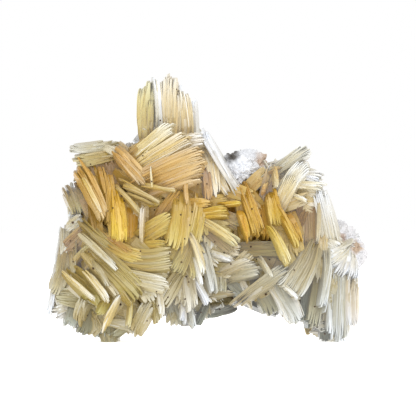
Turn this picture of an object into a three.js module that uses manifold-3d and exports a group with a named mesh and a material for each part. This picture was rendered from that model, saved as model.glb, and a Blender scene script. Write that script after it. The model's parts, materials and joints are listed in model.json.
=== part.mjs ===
// Bladed barite: one loose specimen, a crust of thin tabular crystals that grew out of a massive
// root, standing upright on two feet. Hundreds of blades lie in sheaves that cross like weaving.
// Millimetres, +Z up. The bladed face looks along -Y and the broken root shows along +Y.
// The origin is the middle of the specimen's footprint, on the surface that it stands on.

import * as THREE from "three";
import { ConvexGeometry } from "three/addons/geometries/ConvexGeometry.js";
import { mergeVertices } from "three/addons/utils/BufferGeometryUtils.js";
import Module from "manifold-3d";

const wasm = await Module();
wasm.setup();

// Driving dimensions
const BLADES_PER_SLAB = 5; // crystals that lie face to face are built as one slab
const CROWN = 0.28; // how much shorter a sheaf's outer blades are than its middle one
const SLAB_OVERLAP = 1.08; // slab thickness over slab spacing
const SLAB_LEAST = 1.3; // thinnest slab
const ROOT_FRONT = -7; // the massive root lies behind this plane
const ROOT_BACK = 13; // and in front of this one
const ROOT_CHAMFER = { out: 2, deep: 4 };
const ANCHOR = 1.5; // how far every blade runs on into the root
const ORIGIN_SHIFT = [-0.25, 1.75, 0]; // brings the footprint's middle onto the origin
const TRIM_BLOCK = [200, 100, 20]; // what trims the feet level

// Sheaves of blades. x, z and y place the middle of the front rims. heading is the way the blades
// point as seen from the front, in degrees from +X. lean brings their tips forward, fan opens the
// sheaf and roll turns the flat faces to the front. deep is a blade's width and count the number of
// crystals.
// name, x, z, y, heading, lean, long, wide, fan, deep, roll, count
const SHEAVES = [
  // spire
  ["spire_left", -19.5, 73.5, -8.5, 87, 0, 19, 5.4, 3, 11, 8, 8],
  ["spire_white", -15.5, 76, -10, 92, 3, 15.5, 1.8, 0, 10, -10, 3],
  ["spire_mid", -12.5, 75.5, -9.5, 91, 4, 19, 5, 5, 12, 10, 8],
  ["spire_right", -7.5, 72.5, -8.5, 92, 3, 14.5, 5.4, -6, 11, -12, 8],
  ["spire_shoulder", -5, 71, -4, 93, 0, 12.5, 2.4, 0, 10, 10, 4],
  ["spire_back_a", -16, 73, 3, 90, -4, 19, 8.2, 8, 8, 0, 7],
  ["spire_back_b", -8.5, 70.5, 5, 94, -6, 15.5, 7.6, 6, 8, 0, 6],
  // feather across the spire's foot
  ["feather_top", -16, 64.5, -13, 38, 6, 14.5, 4, 4, 9, 18, 7],
  ["feather_mid", -13.5, 60.5, -14, 30, 8, 19.5, 4.4, 6, 10, 20, 8],
  ["feather_end", -6.5, 63, -13, 15, 4, 12.5, 4, 0, 9, 15, 7],
  ["feather_low", -11, 56.5, -16, 22, 8, 22.5, 4.4, 4, 11, 18, 8],
  ["feather_edge", -8.5, 53.5, -16, 23, 6, 18, 4, 3, 11, 15, 8],
  ["feather_hem", -9.5, 50.5, -15, 20, 4, 15.5, 2.8, 2, 10, 15, 5],
  // right skirt of the spire
  ["skirt_rim", 2.5, 58.5, -8.5, 120, 0, 24.5, 2.4, 0, 10, 10, 5],
  ["skirt_a", 1.5, 55, -11, -80, 6, 20.5, 3.8, -8, 10, 10, 7],
  ["skirt_b", 6, 51.5, -10, -70, 8, 16, 4.4, -6, 10, -8, 7],
  ["skirt_c", 0, 51, -12, -84, 8, 15, 2.4, 0, 9, 10, 4],
  // right fan
  ["fan_top", 25.5, 57, -9, 38, -4, 17.5, 3.4, 8, 9, 15, 7],
  ["fan_face", 26, 51, -11, 50, 2, 17, 4.6, 6, 9, 35, 7],
  ["fan_low", 24, 46.5, -12, 63, 4, 15, 4.4, 4, 10, 25, 7],
  ["fan_root", 19, 48, -9, 76, 6, 17.5, 4.6, 2, 10, 5, 7],
  ["crest_top", 31.5, 52.5, -8.5, -8, -2, 9.5, 2.8, 24, 9, 15, 6],
  ["crest_mid", 31.5, 49.5, -9.5, -2, 2, 10.5, 2.4, 6, 9, 10, 5],
  // right column
  ["column_mid", 32.5, 38, -8, -90, 4, 21, 5.6, 4, 10, 12, 7],
  ["column_rim", 37, 39.5, -8.5, 102, 0, 19.5, 5, -4, 11, 12, 8],
  ["column_foot", 36.5, 30, -9, -86, 6, 9.5, 3.2, 0, 8, 10, 4],
  // right lump
  ["lump_rays", 44, 25.5, -8.5, -108, 6, 11, 6.8, 50, 9, 10, 8],
  ["lump_rays_b", 41.5, 28, -9, -150, 8, 10.5, 4.4, 20, 8, 15, 6],
  ["lump_rays_c", 45, 32.5, -1, 60, 0, 6, 3.8, 60, 10, 0, 7],
  ["lump_tuft", 39, 30.5, -9, -30, 10, 5, 3.8, 30, 6, 20, 5],
  // lower right
  ["foot_main", 40.5, 12, -9, -92, 2, 24.5, 5.6, 2, 12, 10, 9],
  ["foot_right", 45, 12.5, -8.5, -90, 0, 18, 4, 2, 12, -10, 7],
  ["foot_tag", 44, 6.5, -8, -90, 0, 9.5, 1.6, 0, 8, 0, 3],
  ["foot_edge", 46.5, 15.5, 2, -92, 0, 14.5, 2.4, 0, 10, 0, 4],
  ["foot_inner", 34.5, 14.5, -10, -99, 4, 22, 4, 2, 10, 15, 6],
  ["foot_dark", 31.5, 12.5, -8.5, -94, 0, 14.5, 4, 0, 9, 10, 5],
  ["apron_left", 29, 21, -14, -119, 8, 14, 7.6, 14, 10, 20, 9],
  ["apron_leg", 25, 13.5, -11, -61, 4, 17, 6.2, -8, 11, 14, 10],
  ["apron_white", 25.5, 12.5, -12, -62, 4, 15, 2.8, 0, 9, 25, 3],
  ["apron_khaki", 18.5, 14, -9, -64, 2, 12, 5.4, 0, 10, 12, 6],
  // amber blades of the middle right
  ["sabre", 22.5, 31.5, -18, -63, 6, 17.5, 2.4, 3, 7, 30, 3],
  ["sabre_b", 26, 35.5, -16, -64, 6, 14.5, 2.2, 0, 7, 25, 3],
  ["tongue", 21, 42.5, -13, -80, 8, 13, 4, 6, 8, 20, 6],
  ["amber_deep", 18, 40, -9, -84, 4, 17, 3.8, 0, 8, 10, 5],
  ["amber_fan", 14, 41.5, -13, -73, 6, 18, 3.8, 4, 8, 15, 6],
  ["gold_leaf", 2, 41, -14, 12, 4, 10, 3.4, 4, 6, 35, 4],
  // centre
  ["centre_lemon", -8.5, 36.5, -17, -98, 8, 17, 6, 6, 10, 14, 9],
  ["centre_lemon_b", -3.5, 36.5, -15, -101, 8, 13, 4.4, 4, 9, 18, 6],
  // fishbone left of the centre
  ["fish_right", -15.5, 36.5, -15, 30, 8, 12, 6, 4, 10, 14, 9],
  ["fish_upper", -12.5, 43.5, -13, 52, 6, 13, 3.2, 4, 9, 14, 5],
  ["veil", -19.5, 50, -12, -46, 4, 17, 5.6, 4, 8, 45, 5],
  ["veil_low", -23.5, 44, -14, -47, 8, 12, 1.2, 2, 7, 20, 3],
  ["veil_gold", -18, 44, -11, 10, 4, 11, 2.4, 0, 8, 15, 4],
  // top left
  ["wing_upper", -37, 61, -8.5, 187, 0, 14.5, 2.4, 0, 10, 12, 6],
  ["wing_lower", -36.5, 57.5, -9, 189, 2, 12, 3.8, 6, 10, 12, 6],
  ["wing_ridge", -29, 60, -9, -26, 4, 12.5, 2.2, 0, 9, 20, 4],
  ["peach_mane", -24, 56, -13, -49, 6, 18, 4, 4, 10, 16, 7],
  ["peach_mane_low", -22.5, 53.5, -14, -46, 6, 12.5, 1.2, 0, 8, 15, 3],
  // left column
  ["long_a", -35.5, 47.5, -13, -64, 8, 20.5, 4, -3, 9, 16, 6],
  ["long_b", -32.5, 47.5, -10, -67, 8, 16, 2.8, 0, 8, 14, 4],
  ["long_c", -30, 44, -12, -84, 8, 17, 3.4, 4, 9, 14, 5],
  ["long_gold", -27.5, 37.5, -15, -85, 8, 14.5, 4.6, 4, 9, 12, 8],
  ["long_amber", -23.5, 36.5, -12, -92, 6, 14.5, 3.2, 0, 9, 12, 5],
  ["long_tip", -34.5, 37, -12, -84, 8, 9, 3.2, 0, 7, 20, 4],
  // left edge
  ["left_top", -41.5, 45, -8.5, -66, 0, 11, 5, 4, 10, 12, 8],
  ["left_tan", -37.5, 43.5, -9, -67, 4, 15.5, 3.8, 2, 9, 12, 6],
  ["left_vee", -42, 37.5, -8.5, 36, 0, 7.5, 3.4, 0, 9, 15, 5],
  ["left_slant", -41, 31.5, -9.5, 42, 4, 14.5, 6.6, 4, 10, 14, 9],
  ["left_side", -45, 26, -8, -98, 0, 15, 4, 2, 10, 12, 7],
  ["left_post", -42, 24, -11, -92, 4, 9, 1.6, 0, 7, 15, 3],
  ["left_tips", -46, 20, -8.5, -108, 2, 12, 3.8, 4, 9, 16, 5],
  // left lower lobe
  ["shelf", -41.5, 14, -8.5, 174, 0, 14.5, 6.2, -12, 11, 18, 8],
  ["shelf_low", -45, 10, -5, 205, 0, 7.5, 4, 20, 10, 15, 5],
  ["shelf_spikes", -40, 10, -11, -103, 4, 9, 3.4, 4, 8, 18, 4],
  ["foot_left_dark", -37.5, 7, -8.5, -107, 0, 10.5, 3.8, 6, 9, 12, 6],
  ["petal_face", -36, 18, -13, -43, 4, 15, 5.6, 0, 8, 45, 4],
  ["petal_bright", -33, 17, -17, -52, 6, 10, 2.2, 0, 7, 30, 3],
  ["petal_olive", -27, 21.5, -17, -44, 6, 20, 6.8, 4, 10, 18, 8],
  ["petal_olive_b", -31, 21, -16, -52, 4, 16, 3.8, 0, 9, 25, 4],
  ["sweep_a", -31.5, 30.5, -14, -43, 6, 15.5, 4.4, 2, 9, 16, 6],
  ["sweep_b", -24.5, 28.5, -16, -28, 8, 15, 4.6, 0, 9, 18, 8],
  ["sweep_c", -17.5, 26.5, -17, -4, 6, 15.5, 6.8, 4, 10, 22, 9],
  ["sweep_top", -17, 31, -14, 2, 4, 12, 2.4, 0, 9, 18, 4],
  ["sweep_white", -18.5, 20, -18, -11, 6, 14, 3.2, 4, 8, 35, 4],
  // bottom left
  ["spike_lemon", -29.5, 11.5, -16, -117, 4, 12.5, 2.2, 2, 6, 25, 3],
  ["spike_olive", -32, 11.5, -14, -118, 4, 6, 2.2, 0, 6, 20, 3],
  ["spike_slant", -21, 7.5, -11, -115, 2, 13, 4, 4, 8, 20, 5],
  ["belly", -28, 6, -9, -8, 0, 13, 2.8, 10, 9, 30, 4],
  ["tips_bottom", -26.5, 4, -8.5, -143, 0, 8, 2.4, 6, 8, 15, 4],
  ["tips_bottom_b", -31, 5, -8.5, -100, 0, 6, 3.2, 10, 8, 10, 4],
  ["leaf_b", -16, 11.5, -11, -84, 2, 12.5, 1.8, 2, 5, 50, 3],
  ["leaf_cross", -11, 17.5, -13, -122, 6, 15.5, 4.6, 6, 7, 35, 5],
  // centre bottom
  ["tassel_gold", -7.5, 26.5, -18, -112, 8, 10.5, 4, 6, 8, 20, 6],
  ["tassel_white", -2.5, 27.5, -19, -72, 8, 12.5, 1.8, 0, 5, 50, 3],
  ["tassel_gold_b", -4.5, 25.5, -17, -80, 8, 12.5, 2.4, 0, 7, 25, 4],
  ["tassel_lilac", 1, 22.5, -15, -77, 6, 15, 2.4, 3, 6, 45, 4],
  ["tassel_khaki", -5.5, 17, -13, -83, 6, 14.5, 4, 4, 7, 35, 5],
  ["tassel_leaf", -1.5, 16, -13, -60, 4, 10, 1.8, 0, 6, 50, 3],
  ["hem_a", -9, 10, -9, -70, 2, 9.5, 1.8, 0, 5, 45, 3],
  ["hem_b", -7.5, 11, -10, -88, 2, 9.5, 1.6, 0, 5, 40, 3],
  ["hem_c", -5, 9, -9, -78, 2, 10.5, 1.8, 0, 5, 50, 3],
  ["hem_d", -1.5, 8.5, -8, -112, 0, 8, 1.8, 0, 5, 50, 3],
  ["hem_shade", 3.5, 10.5, -3, 195, 0, 13, 5, 0, 9, 20, 6],
  ["block_lip", 4, 15.5, -10, 8, 2, 7.5, 1.6, 0, 7, 30, 3],
  // centre right lower
  ["weave_lemon", 4.5, 35, -15, -33, 8, 14, 2.2, 4, 8, 22, 4],
  ["weave_khaki", 4, 32.5, -12, -38, 6, 12, 3.8, 4, 8, 18, 5],
  ["weave_tan", 6, 39.5, -9, -20, 4, 12.5, 3.8, 4, 8, 25, 5],
  ["weave_band", 16.5, 29.5, -10, 3, 4, 19, 4.6, 0, 9, 20, 7],
  ["weave_cream", 8.5, 24, -12, 23, 6, 12.5, 3.2, 2, 8, 20, 5],
  ["weave_sparkle", 11.5, 22.5, -12, 14, 6, 11, 4, 6, 8, 22, 7],
  ["weave_beam", 17, 18.5, -13, 36, 4, 22, 3.8, 3, 9, 16, 7],
  ["arch_left", 5, 11, 1, -140, 0, 9.5, 3.2, 0, 9, 10, 5],
  ["arch_right", 17, 11.5, 0, -24, 0, 14, 2.2, 0, 9, 10, 4],
  ["foot_left_edge", -42.5, 8, -8.5, -105, 0, 7.5, 3.8, 4, 9, 10, 3],
  ["fan_back", 26.5, 58, -5, 30, 0, 12.5, 2.4, 0, 8, 0, 3],
];

// The massive root's outline: x, z.
const ROOT_OUTLINE = [
  [-18.5, 76.5],
  [-15.5, 80],
  [-11, 80],
  [-8.5, 75],
  [-6, 70],
  [-3, 65],
  [0, 59],
  [2.5, 55.5],
  [7.5, 55],
  [17, 55],
  [23.5, 55.5],
  [28.5, 57.5],
  [31, 53.5],
  [34, 46.5],
  [36, 40.5],
  [41.5, 35],
  [45, 30.5],
  [44.5, 25.5],
  [43, 20],
  [44.5, 14],
  [44, 8.5],
  [43, 1.5],
  [42.5, -4],
  [36, -4],
  [34.5, 1.5],
  [31.5, 6.5],
  [23.5, 10],
  [17, 12.5],
  [10, 13],
  [3.5, 9],
  [-3, 7.5],
  [-12.5, 8.5],
  [-18, 11],
  [-21.5, 6.5],
  [-24.5, 3],
  [-25, -4],
  [-34, -4],
  [-35.5, 2.5],
  [-39, 4],
  [-44, 8],
  [-46.5, 13.5],
  [-46, 21.5],
  [-45, 28],
  [-42.5, 33.5],
  [-41.5, 40],
  [-42, 45.5],
  [-40, 50.5],
  [-39, 54],
  [-38.5, 58],
  [-35, 61.5],
  [-28, 62.5],
  [-22.5, 62.5],
  [-20, 65],
  [-19.5, 70.5],
];

// Lumps that swell out of the root: name, centre x, y, z, half sizes along x, y, z, turn about Y.
const LUMPS = [
  ["boulder_top", 13, 3, 54.5, 8.5, 8, 7, 0],
  ["boulder_right", 42.5, 3, 29, 8.5, 8, 9, 0],
  ["back_left", -26, 7, 30, 18, 8, 20, 10],
  ["back_middle", 2, 8, 34, 18, 7, 16, 0],
  ["back_right", 30, 7, 30, 14, 8, 18, -10],
  ["back_spire", -13, 7, 62, 8, 6, 15, -5],
];

// Tips of the blades around the root's sides: x, z, and the way they point in degrees from +X.
const FRINGE = [
  [-22, 70, 175],
  [-30, 63.5, 110],
  [-38, 62.5, 95],
  [-42.5, 54.5, 165],
  [-44, 47, 170],
  [-46.5, 30, 170],
  [-48.5, 21.5, 178],
  [-48.5, 14, 190],
  [-44.5, 6, 215],
  [-38, 2, 245],
  [-21.5, 4, 310],
  [-13, 7.5, 265],
  [-4, 5.5, 280],
  [5, 8.5, 285],
  [26, 6, 245],
  [33.5, 2, 230],
  [46, 5, 320],
  [48, 14, 0],
  [47, 22, 5],
  [41.5, 40, 50],
  [39, 47, 20],
  [33.5, 59, 35],
  [25, 60, 80],
  [5, 59.5, 70],
  [-1, 66.5, 40],
  [-4.5, 75, 35],
  [-11, 82, 70],
  [-18.5, 81, 115],
];
const FRINGE_ROWS = [0.5, 7.5]; // y of each row's front rims
const FRINGE_BLADE = { long: 12, thick: 4, deep: 7 };
const FRINGE_STRAY = { heading: 40, lean: 20, roll: 30 }; // how far they stray, in degrees all told

const radians = (degrees) => (degrees * Math.PI) / 180;

// Repeatable draws between 0 and 1.
function dice(seed) {
  let state = seed;
  return () => {
    state = (state * 16807) % 2147483647;
    return state / 2147483647;
  };
}

// The same surface with one vertex at each corner.
function welded(geometry) {
  geometry.deleteAttribute("normal");
  geometry.deleteAttribute("uv");
  return mergeVertices(geometry, 1e-4);
}

function solidOf(geometry) {
  const { attributes, index } = welded(geometry);
  return new wasm.Manifold(
    new wasm.Mesh({
      numProp: 3,
      vertProperties: new Float32Array(attributes.position.array),
      triVerts: new Uint32Array(index.array),
    }),
  );
}

// A slab of crystals: a sharp front rim, two bevelled faces, two pointed ends, and a tail that
// runs straight back into the root.
function slab(middle, { along, across, stack, front }, long, thick, deep, tail) {
  const at = (a, u, s, back) =>
    middle
      .clone()
      .addScaledVector(along, a * long)
      .addScaledVector(across, -u * deep)
      .addScaledVector(stack, s * thick)
      .addScaledVector(front, -back);
  return solidOf(
    new ConvexGeometry([
      at(-0.3, 0, 0, 0),
      at(0.34, 0, 0, 0),
      at(-0.38, 0.36, 0.5, 0),
      at(0.38, 0.36, 0.5, 0),
      at(-0.38, 0.36, -0.5, 0),
      at(0.38, 0.36, -0.5, 0),
      at(-0.5, 0.42, 0, 0),
      at(0.5, 0.38, 0, 0),
      at(-0.3, 0, 0, tail),
      at(0.26, 0, 0, tail),
    ]),
  );
}

// The three axes of a blade: along its length, across towards its front rim, and through its faces.
function bladeAxes(heading, lean, roll) {
  const h = radians(heading);
  const l = radians(lean);
  const r = radians(roll);
  const along = new THREE.Vector3(Math.cos(l) * Math.cos(h), -Math.sin(l), Math.cos(l) * Math.sin(h));
  const side = new THREE.Vector3(-Math.sin(h), 0, Math.cos(h));
  const front = new THREE.Vector3().crossVectors(along, side);
  const across = front.clone().multiplyScalar(Math.cos(r)).addScaledVector(side, Math.sin(r));
  const stack = side.clone().multiplyScalar(Math.cos(r)).addScaledVector(front, -Math.sin(r));
  return { along, across, stack, side, front };
}

function sheaf([, x, z, y, heading, lean, long, wide, fan, deep, roll, count]) {
  const slabs = Math.max(1, Math.round(count / BLADES_PER_SLAB));
  const thick = Math.max(SLAB_LEAST, (wide / slabs) * SLAB_OVERLAP);
  const tail = Math.max(ROOT_FRONT + ANCHOR - y, deep);
  const { side } = bladeAxes(heading, lean, roll);
  const solids = [];
  for (let i = 0; i < slabs; i++) {
    const t = (i + 0.5) / slabs - 0.5;
    const axes = bladeAxes(heading + fan * t, lean, roll);
    const middle = new THREE.Vector3(x, y, z).addScaledVector(side, wide * t);
    solids.push(slab(middle, axes, long * (1 - CROWN * (2 * t) ** 2), thick, deep, tail));
  }
  return solids;
}

function root() {
  const shape = new THREE.Shape(ROOT_OUTLINE.map(([x, z]) => new THREE.Vector2(x, z)));
  const geometry = new THREE.ExtrudeGeometry(shape, {
    depth: ROOT_BACK - ROOT_FRONT - 2 * ROOT_CHAMFER.deep,
    bevelSize: ROOT_CHAMFER.out,
    bevelOffset: -ROOT_CHAMFER.out,
    bevelThickness: ROOT_CHAMFER.deep,
    bevelSegments: 1,
  });
  return solidOf(geometry.translate(0, 0, ROOT_CHAMFER.deep - ROOT_BACK).rotateX(Math.PI / 2));
}

// A rough lump: an icosahedron whose corners are pushed in and out.
function lump([, x, y, z, rx, ry, rz, turn], index) {
  const roll = dice(700 + index * 31);
  const geometry = welded(new THREE.IcosahedronGeometry(1, 1));
  const corners = geometry.attributes.position;
  for (let i = 0; i < corners.count; i++) {
    const push = 0.92 + 0.16 * roll();
    corners.setXYZ(i, corners.getX(i) * push * rx, corners.getY(i) * push * ry, corners.getZ(i) * push * rz);
  }
  return solidOf(geometry.rotateY(radians(turn)).translate(x, y, z));
}

// The blades around the root's sides.
function fringe() {
  const { long, thick, deep } = FRINGE_BLADE;
  return FRINGE.flatMap(([x, z, outward], index) => {
    const roll = dice(90 + index * 17);
    const stray = (angle) => FRINGE_STRAY[angle] * (roll() - 0.5);
    return FRINGE_ROWS.map((y) => {
      const axes = bladeAxes(outward + stray("heading"), stray("lean"), stray("roll"));
      const middle = new THREE.Vector3(x, y, z).addScaledVector(axes.along, -long / 2 - roll());
      return slab(middle, axes, long, thick, deep, deep);
    });
  });
}

// Everything grown together, with the feet trimmed level so that it stands.
function cluster() {
  const grown = wasm.Manifold.union([root(), ...LUMPS.map(lump), ...SHEAVES.flatMap(sheaf), ...fringe()]);
  const trim = new THREE.BoxGeometry(...TRIM_BLOCK).translate(0, 0, -TRIM_BLOCK[2] / 2);
  return outerShell(grown.subtract(solidOf(trim)));
}

// Keeps the one outer skin: the gaps sealed in between blades are closed up.
function outerShell(solid) {
  const skins = solid.decompose().filter((skin) => skin.volume() > 0);
  return skins.reduce((most, skin) => (skin.volume() > most.volume() ? skin : most));
}

function geometryOf(solid) {
  const mesh = solid.getMesh();
  return new THREE.BufferGeometry()
    .setAttribute("position", new THREE.BufferAttribute(new Float32Array(mesh.vertProperties), 3))
    .setIndex(new THREE.BufferAttribute(mesh.triVerts, 1));
}

const barite = new THREE.MeshStandardMaterial({ color: 0xe3cf9d, roughness: 0.45, metalness: 0 });
const clusterMesh = new THREE.Mesh(geometryOf(cluster()), barite);
clusterMesh.name = "barite_cluster";
clusterMesh.position.set(...ORIGIN_SHIFT);

const specimen = new THREE.Group();
specimen.add(clusterMesh);

export default specimen;
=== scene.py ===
"""Looks of the bladed barite specimen: every crystal of every sheaf, the broken root that they grew
from, the white fibrous lumps and the rust specks, with their materials, light and camera.

Sizes and places are millimetres in the layout frame of the solid, with the bladed face toward -Y.
MM and ORIGIN_SHIFT bring them into the frame's metres.
"""

import json
import math

import bmesh
import bpy
import numpy as np
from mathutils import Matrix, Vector, noise
from mathutils.bvhtree import BVHTree

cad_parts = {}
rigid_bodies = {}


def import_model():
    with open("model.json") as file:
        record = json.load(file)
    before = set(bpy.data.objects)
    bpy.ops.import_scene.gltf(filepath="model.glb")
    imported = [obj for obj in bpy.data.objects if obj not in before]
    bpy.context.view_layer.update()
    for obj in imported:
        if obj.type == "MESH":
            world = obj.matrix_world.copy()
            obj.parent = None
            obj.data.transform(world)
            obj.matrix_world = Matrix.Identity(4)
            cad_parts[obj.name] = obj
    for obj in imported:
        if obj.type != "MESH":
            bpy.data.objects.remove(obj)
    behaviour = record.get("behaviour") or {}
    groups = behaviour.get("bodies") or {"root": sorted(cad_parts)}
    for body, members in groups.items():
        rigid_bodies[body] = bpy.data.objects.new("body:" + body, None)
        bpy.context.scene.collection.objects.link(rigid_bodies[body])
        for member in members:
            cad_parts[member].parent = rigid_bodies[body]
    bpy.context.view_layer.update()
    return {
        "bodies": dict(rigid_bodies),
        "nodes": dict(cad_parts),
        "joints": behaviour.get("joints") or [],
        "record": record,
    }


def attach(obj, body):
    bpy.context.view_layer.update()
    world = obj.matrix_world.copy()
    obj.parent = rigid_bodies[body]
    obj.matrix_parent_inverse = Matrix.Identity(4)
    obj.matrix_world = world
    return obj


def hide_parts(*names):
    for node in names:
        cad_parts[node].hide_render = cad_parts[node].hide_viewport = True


NODE = "barite_cluster"
MM = 0.001
ORIGIN_SHIFT = np.array((-0.25, 1.75, 0.0))

# Seeds of the random draws. A group of sheaves adds its number, an undergrowth its first x.
GROUP_SEED, UNDER_SEED, SIDE_SEED, BACK_SEED, SPECK_SEED = 1000, 77, 5, 6, 9

# One plate. Cuts are shares of its width, lateness is how late they set in towards its end.
STATIONS, COARSE_STATIONS = 11, 7  # rings along a plate of the front, and along one elsewhere
RING = 6  # corners of a ring
RIM_FLAT, BACK_FLAT = 0.9, 0.8  # width of the rim and of the back edge over the plate's thickness
BEVEL = 0.14  # width of the bevel behind the rim
LEAST_DEEP, LEAST_BEHIND = 0.3, 0.1  # the least from the rim and from the bevel to the back edge
ROOT_END = 0.2  # where the taper to the root end starts, as a share of half the length
TIP_CUT, TIP_LATENESS = (0.08, 0.45), (3, 8)
ROOT_CUT, ROOT_LATENESS = (0.35, 0.8), (1.4, 2.5)
LEAF_TIP_CUT, LEAF_TIP_START, LEAF_TIP_LATENESS = (0.3, 0.95), (0.2, 0.8), 1.2
LEAF_ROOT_CUT, LEAF_ROOT_LATENESS = (0.0, 0.3), 3
BACK_CUT, BACK_LATENESS = 0.1, 3
RIM_NOISE, LEAF_RIM_NOISE = 0.06, 0.25  # how uneven rims are
TIP_THINNING, ROOT_THINNING, THICKNESS_NOISE = 0.62, 0.4, 0.06
BOW_MIDDLE = 0.08  # keeps a bent plate's middle near its place

# One crystal, a stack of plates
LAMINA = 0.38  # usual step from plate to plate
OVERLAP = 1.6  # thickness of plates over their spacing
LEAST_THICK = 0.3  # least thickness of plates in a rolled sheaf
POINTED, POINTEDNESS = 0.28, 1.5  # how much shorter its outer plates are than its middle one
GATHER = 0.35  # how far the tips of its plates close up on its middle
PLATE_LONG, PLATE_THICK = (0.92, 1.0), (0.9, 1.1)
PLATE_TURN, PLATE_BEHIND, PLATE_SLIP = 0.35, 0.06, 0.2

# One sheaf, a row of crystals. A leafy one is rolled so far that its crystals show their flat faces.
ROLLED = 25  # degrees of roll beyond which a sheaf is leafy
LEAF_PITCH = 0.9  # widest step between leafy crystals
LEAF_FLANK, FLANK = 3.2, 1.3  # how much of its flat face a leafy crystal and another may show
NARROW_FLANK, FULL_FLANK = 0.3, 4  # share of FLANK at no width, and the width that adds it whole
LEAST_WIDTH = 1.8  # least width of a plate behind its rim
OUTER_SHARE = 0.38  # where a sheaf's outermost crystals begin, as a share of its width
OUTER_WIDTH = (4.0, 6.5)  # most width of those, which are seen flat from the side
BURIED, BURIED_LEAF = 0.4, 0.12  # share of a crystal's length that goes on past its visible root end
SEATED = -5.5  # upright crystals reach back to this plane, where nothing above makes them narrower
LEANING = 5  # degrees by which all tips stand up in front of the next sheaf's roots
CROWN = 0.22  # how much shorter a sheaf's outer crystals are than its middle one
LONG = (0.62, 1.1)  # lengths of its crystals over its own
UNEVEN, STRAY = 0.4, 0.1  # how much their widths differ, and how far they stand off even steps
TURN, TILT, ROLL = 2.0, 1.5, 3  # degrees by which they differ in direction
BEHIND = 0.13  # how far their rims stand behind each other
SLIP, NARROW_SLIP, NARROW = 0.07, 0.12, 2.6  # how far they slip, more in sheaves up to NARROW wide
BOW, BOW_NOISE = 4, 0.05  # factor of the parabola that a bend is, and how much bends differ
FILL_DEPTH = 0.08  # how far the rims of the crystals that fill the gaps stay back
FILL_LONG, FILL_THICK = (0.74, 0.92), 1.35

# Undergrowth between the sheaves
UNDER_PITCH, UNDER_TOP = 4.7, 84
UNDER_RANGES = (("left", -50, -5), ("right", -5, 50))  # name, then from and to along x
UNDER_FRONT = -6.5  # its rims lie no further back than this
SUNK = (0.8, 2.6)  # how far they lie behind those of the sheaves
UNDER_TURN, UNDER_ROLL = 22, 3
UNDER_LONG, UNDER_WIDE, UNDER_FAN, UNDER_DEEP, UNDER_COUNT = (7, 11), (3.2, 4.8), 4, 8, (3, 5)
UNDER_OWN_SHARE = 0.3  # share of the nearest sheaf's tone in its colour

# Blades round the sides
SIDE_ROWS, SIDE_PITCH = (-5.6, -2.4, 1.0, 4.8, 8.6), 4.0  # y of their rows, and the step round the edge
FOOT_HEIGHT = 6.5  # edges of the root below this carry none
SIDE_REACH, FRONT_REACH, FRONT_ROWS = 1.4, 0.4, -4  # how far they stand out, less before FRONT_ROWS
SIDE_TURN, SIDE_TURN_LIMIT, SIDE_LEAN, SIDE_FAN, SIDE_ROLL = 18, 24, 10, 8, 28
SIDE_ALONG, SIDE_Y = (0.1, 0.9), 0.7
SIDE_LONG, SIDE_WIDE, SIDE_DEEP, SIDE_COUNT = (8, 12), (2.4, 4), (2.5, 4.5), 6
SIDE_BLADE_LONG, SIDE_BLADE_THICK = (0.85, 1.0), (0.8, 1.05)
SIDE_BLADE_TURN, SIDE_BLADE_ROLL, SIDE_BLADE_SLIP = 2, 4, 0.4
SIDE_TONES = ("creamash", "ash", "lilac", "ivory", "cream", "ice", "taupe")
SIDE_OWN_SHARE = (0.15, 0.95)  # least and most share of their own tone
SIDE_OWN_START, SIDE_OWN_RUN = -7, 4  # the y where that share is none, and how much further it is all

# Blades on the back
BACK_SHEAVES, BACK_BLADES = 110, 9
BACK_X, BACK_Z = (-48, 48), (2, 82)
BACK_RIM, BACK_UNEVEN = 12.8, (-0.4, 1.0)
BACK_PATCH, BACK_PATCH_AT, BACK_BARE = 0.06, 7.0, -0.05  # noise below BACK_BARE leaves the root bare
BACK_SWIRL, BACK_SWIRL_AT, BACK_SWEEP, BACK_TURN = 0.05, 40.0, 320, 15
BACK_PITCH, BACK_THICK, BACK_DEEP = (0.45, 0.7), 1.15, 3
BACK_LONG, BACK_BLADE_LONG = (4.5, 9), (0.6, 1.1)
BACK_FAN, BACK_BLADE_TURN, BACK_LEAN, BACK_ROLL = 1.5, 3, 8, 25
BACK_TONES = ("lilac", "white", "ice", "ivory", "cream")

# Root. Pitches are of the noise that its relief is made of.
ROOT_FRONT, ROOT_BACK = -6.0, 12.5
ROOT_VOXEL, ROOT_SMOOTHING = 0.65, 6
ROOT_SINK = 0.6  # how far its surface is set back before its relief is added
BROAD_PITCH, BROAD_HEIGHT = 0.11, 1.6
ROUGH_PITCH, ROUGH_HEIGHT = 0.45, 0.55
FIBRE_PITCH, FIBRE_HEIGHT, FIBRE_RIDGES = 1.1, 0.6, 1.3
CELL_PITCH, CELL_EDGE = 0.13, 5
RIDGE_STEP, RIDGE_HEIGHT = 1.9, 1.4
LUMP_SWELL = 1.18  # how far past a lump its whiteness reaches
LUMP_CLEARING = 0.9  # share of the front lump that stays clear of undergrowth

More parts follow.
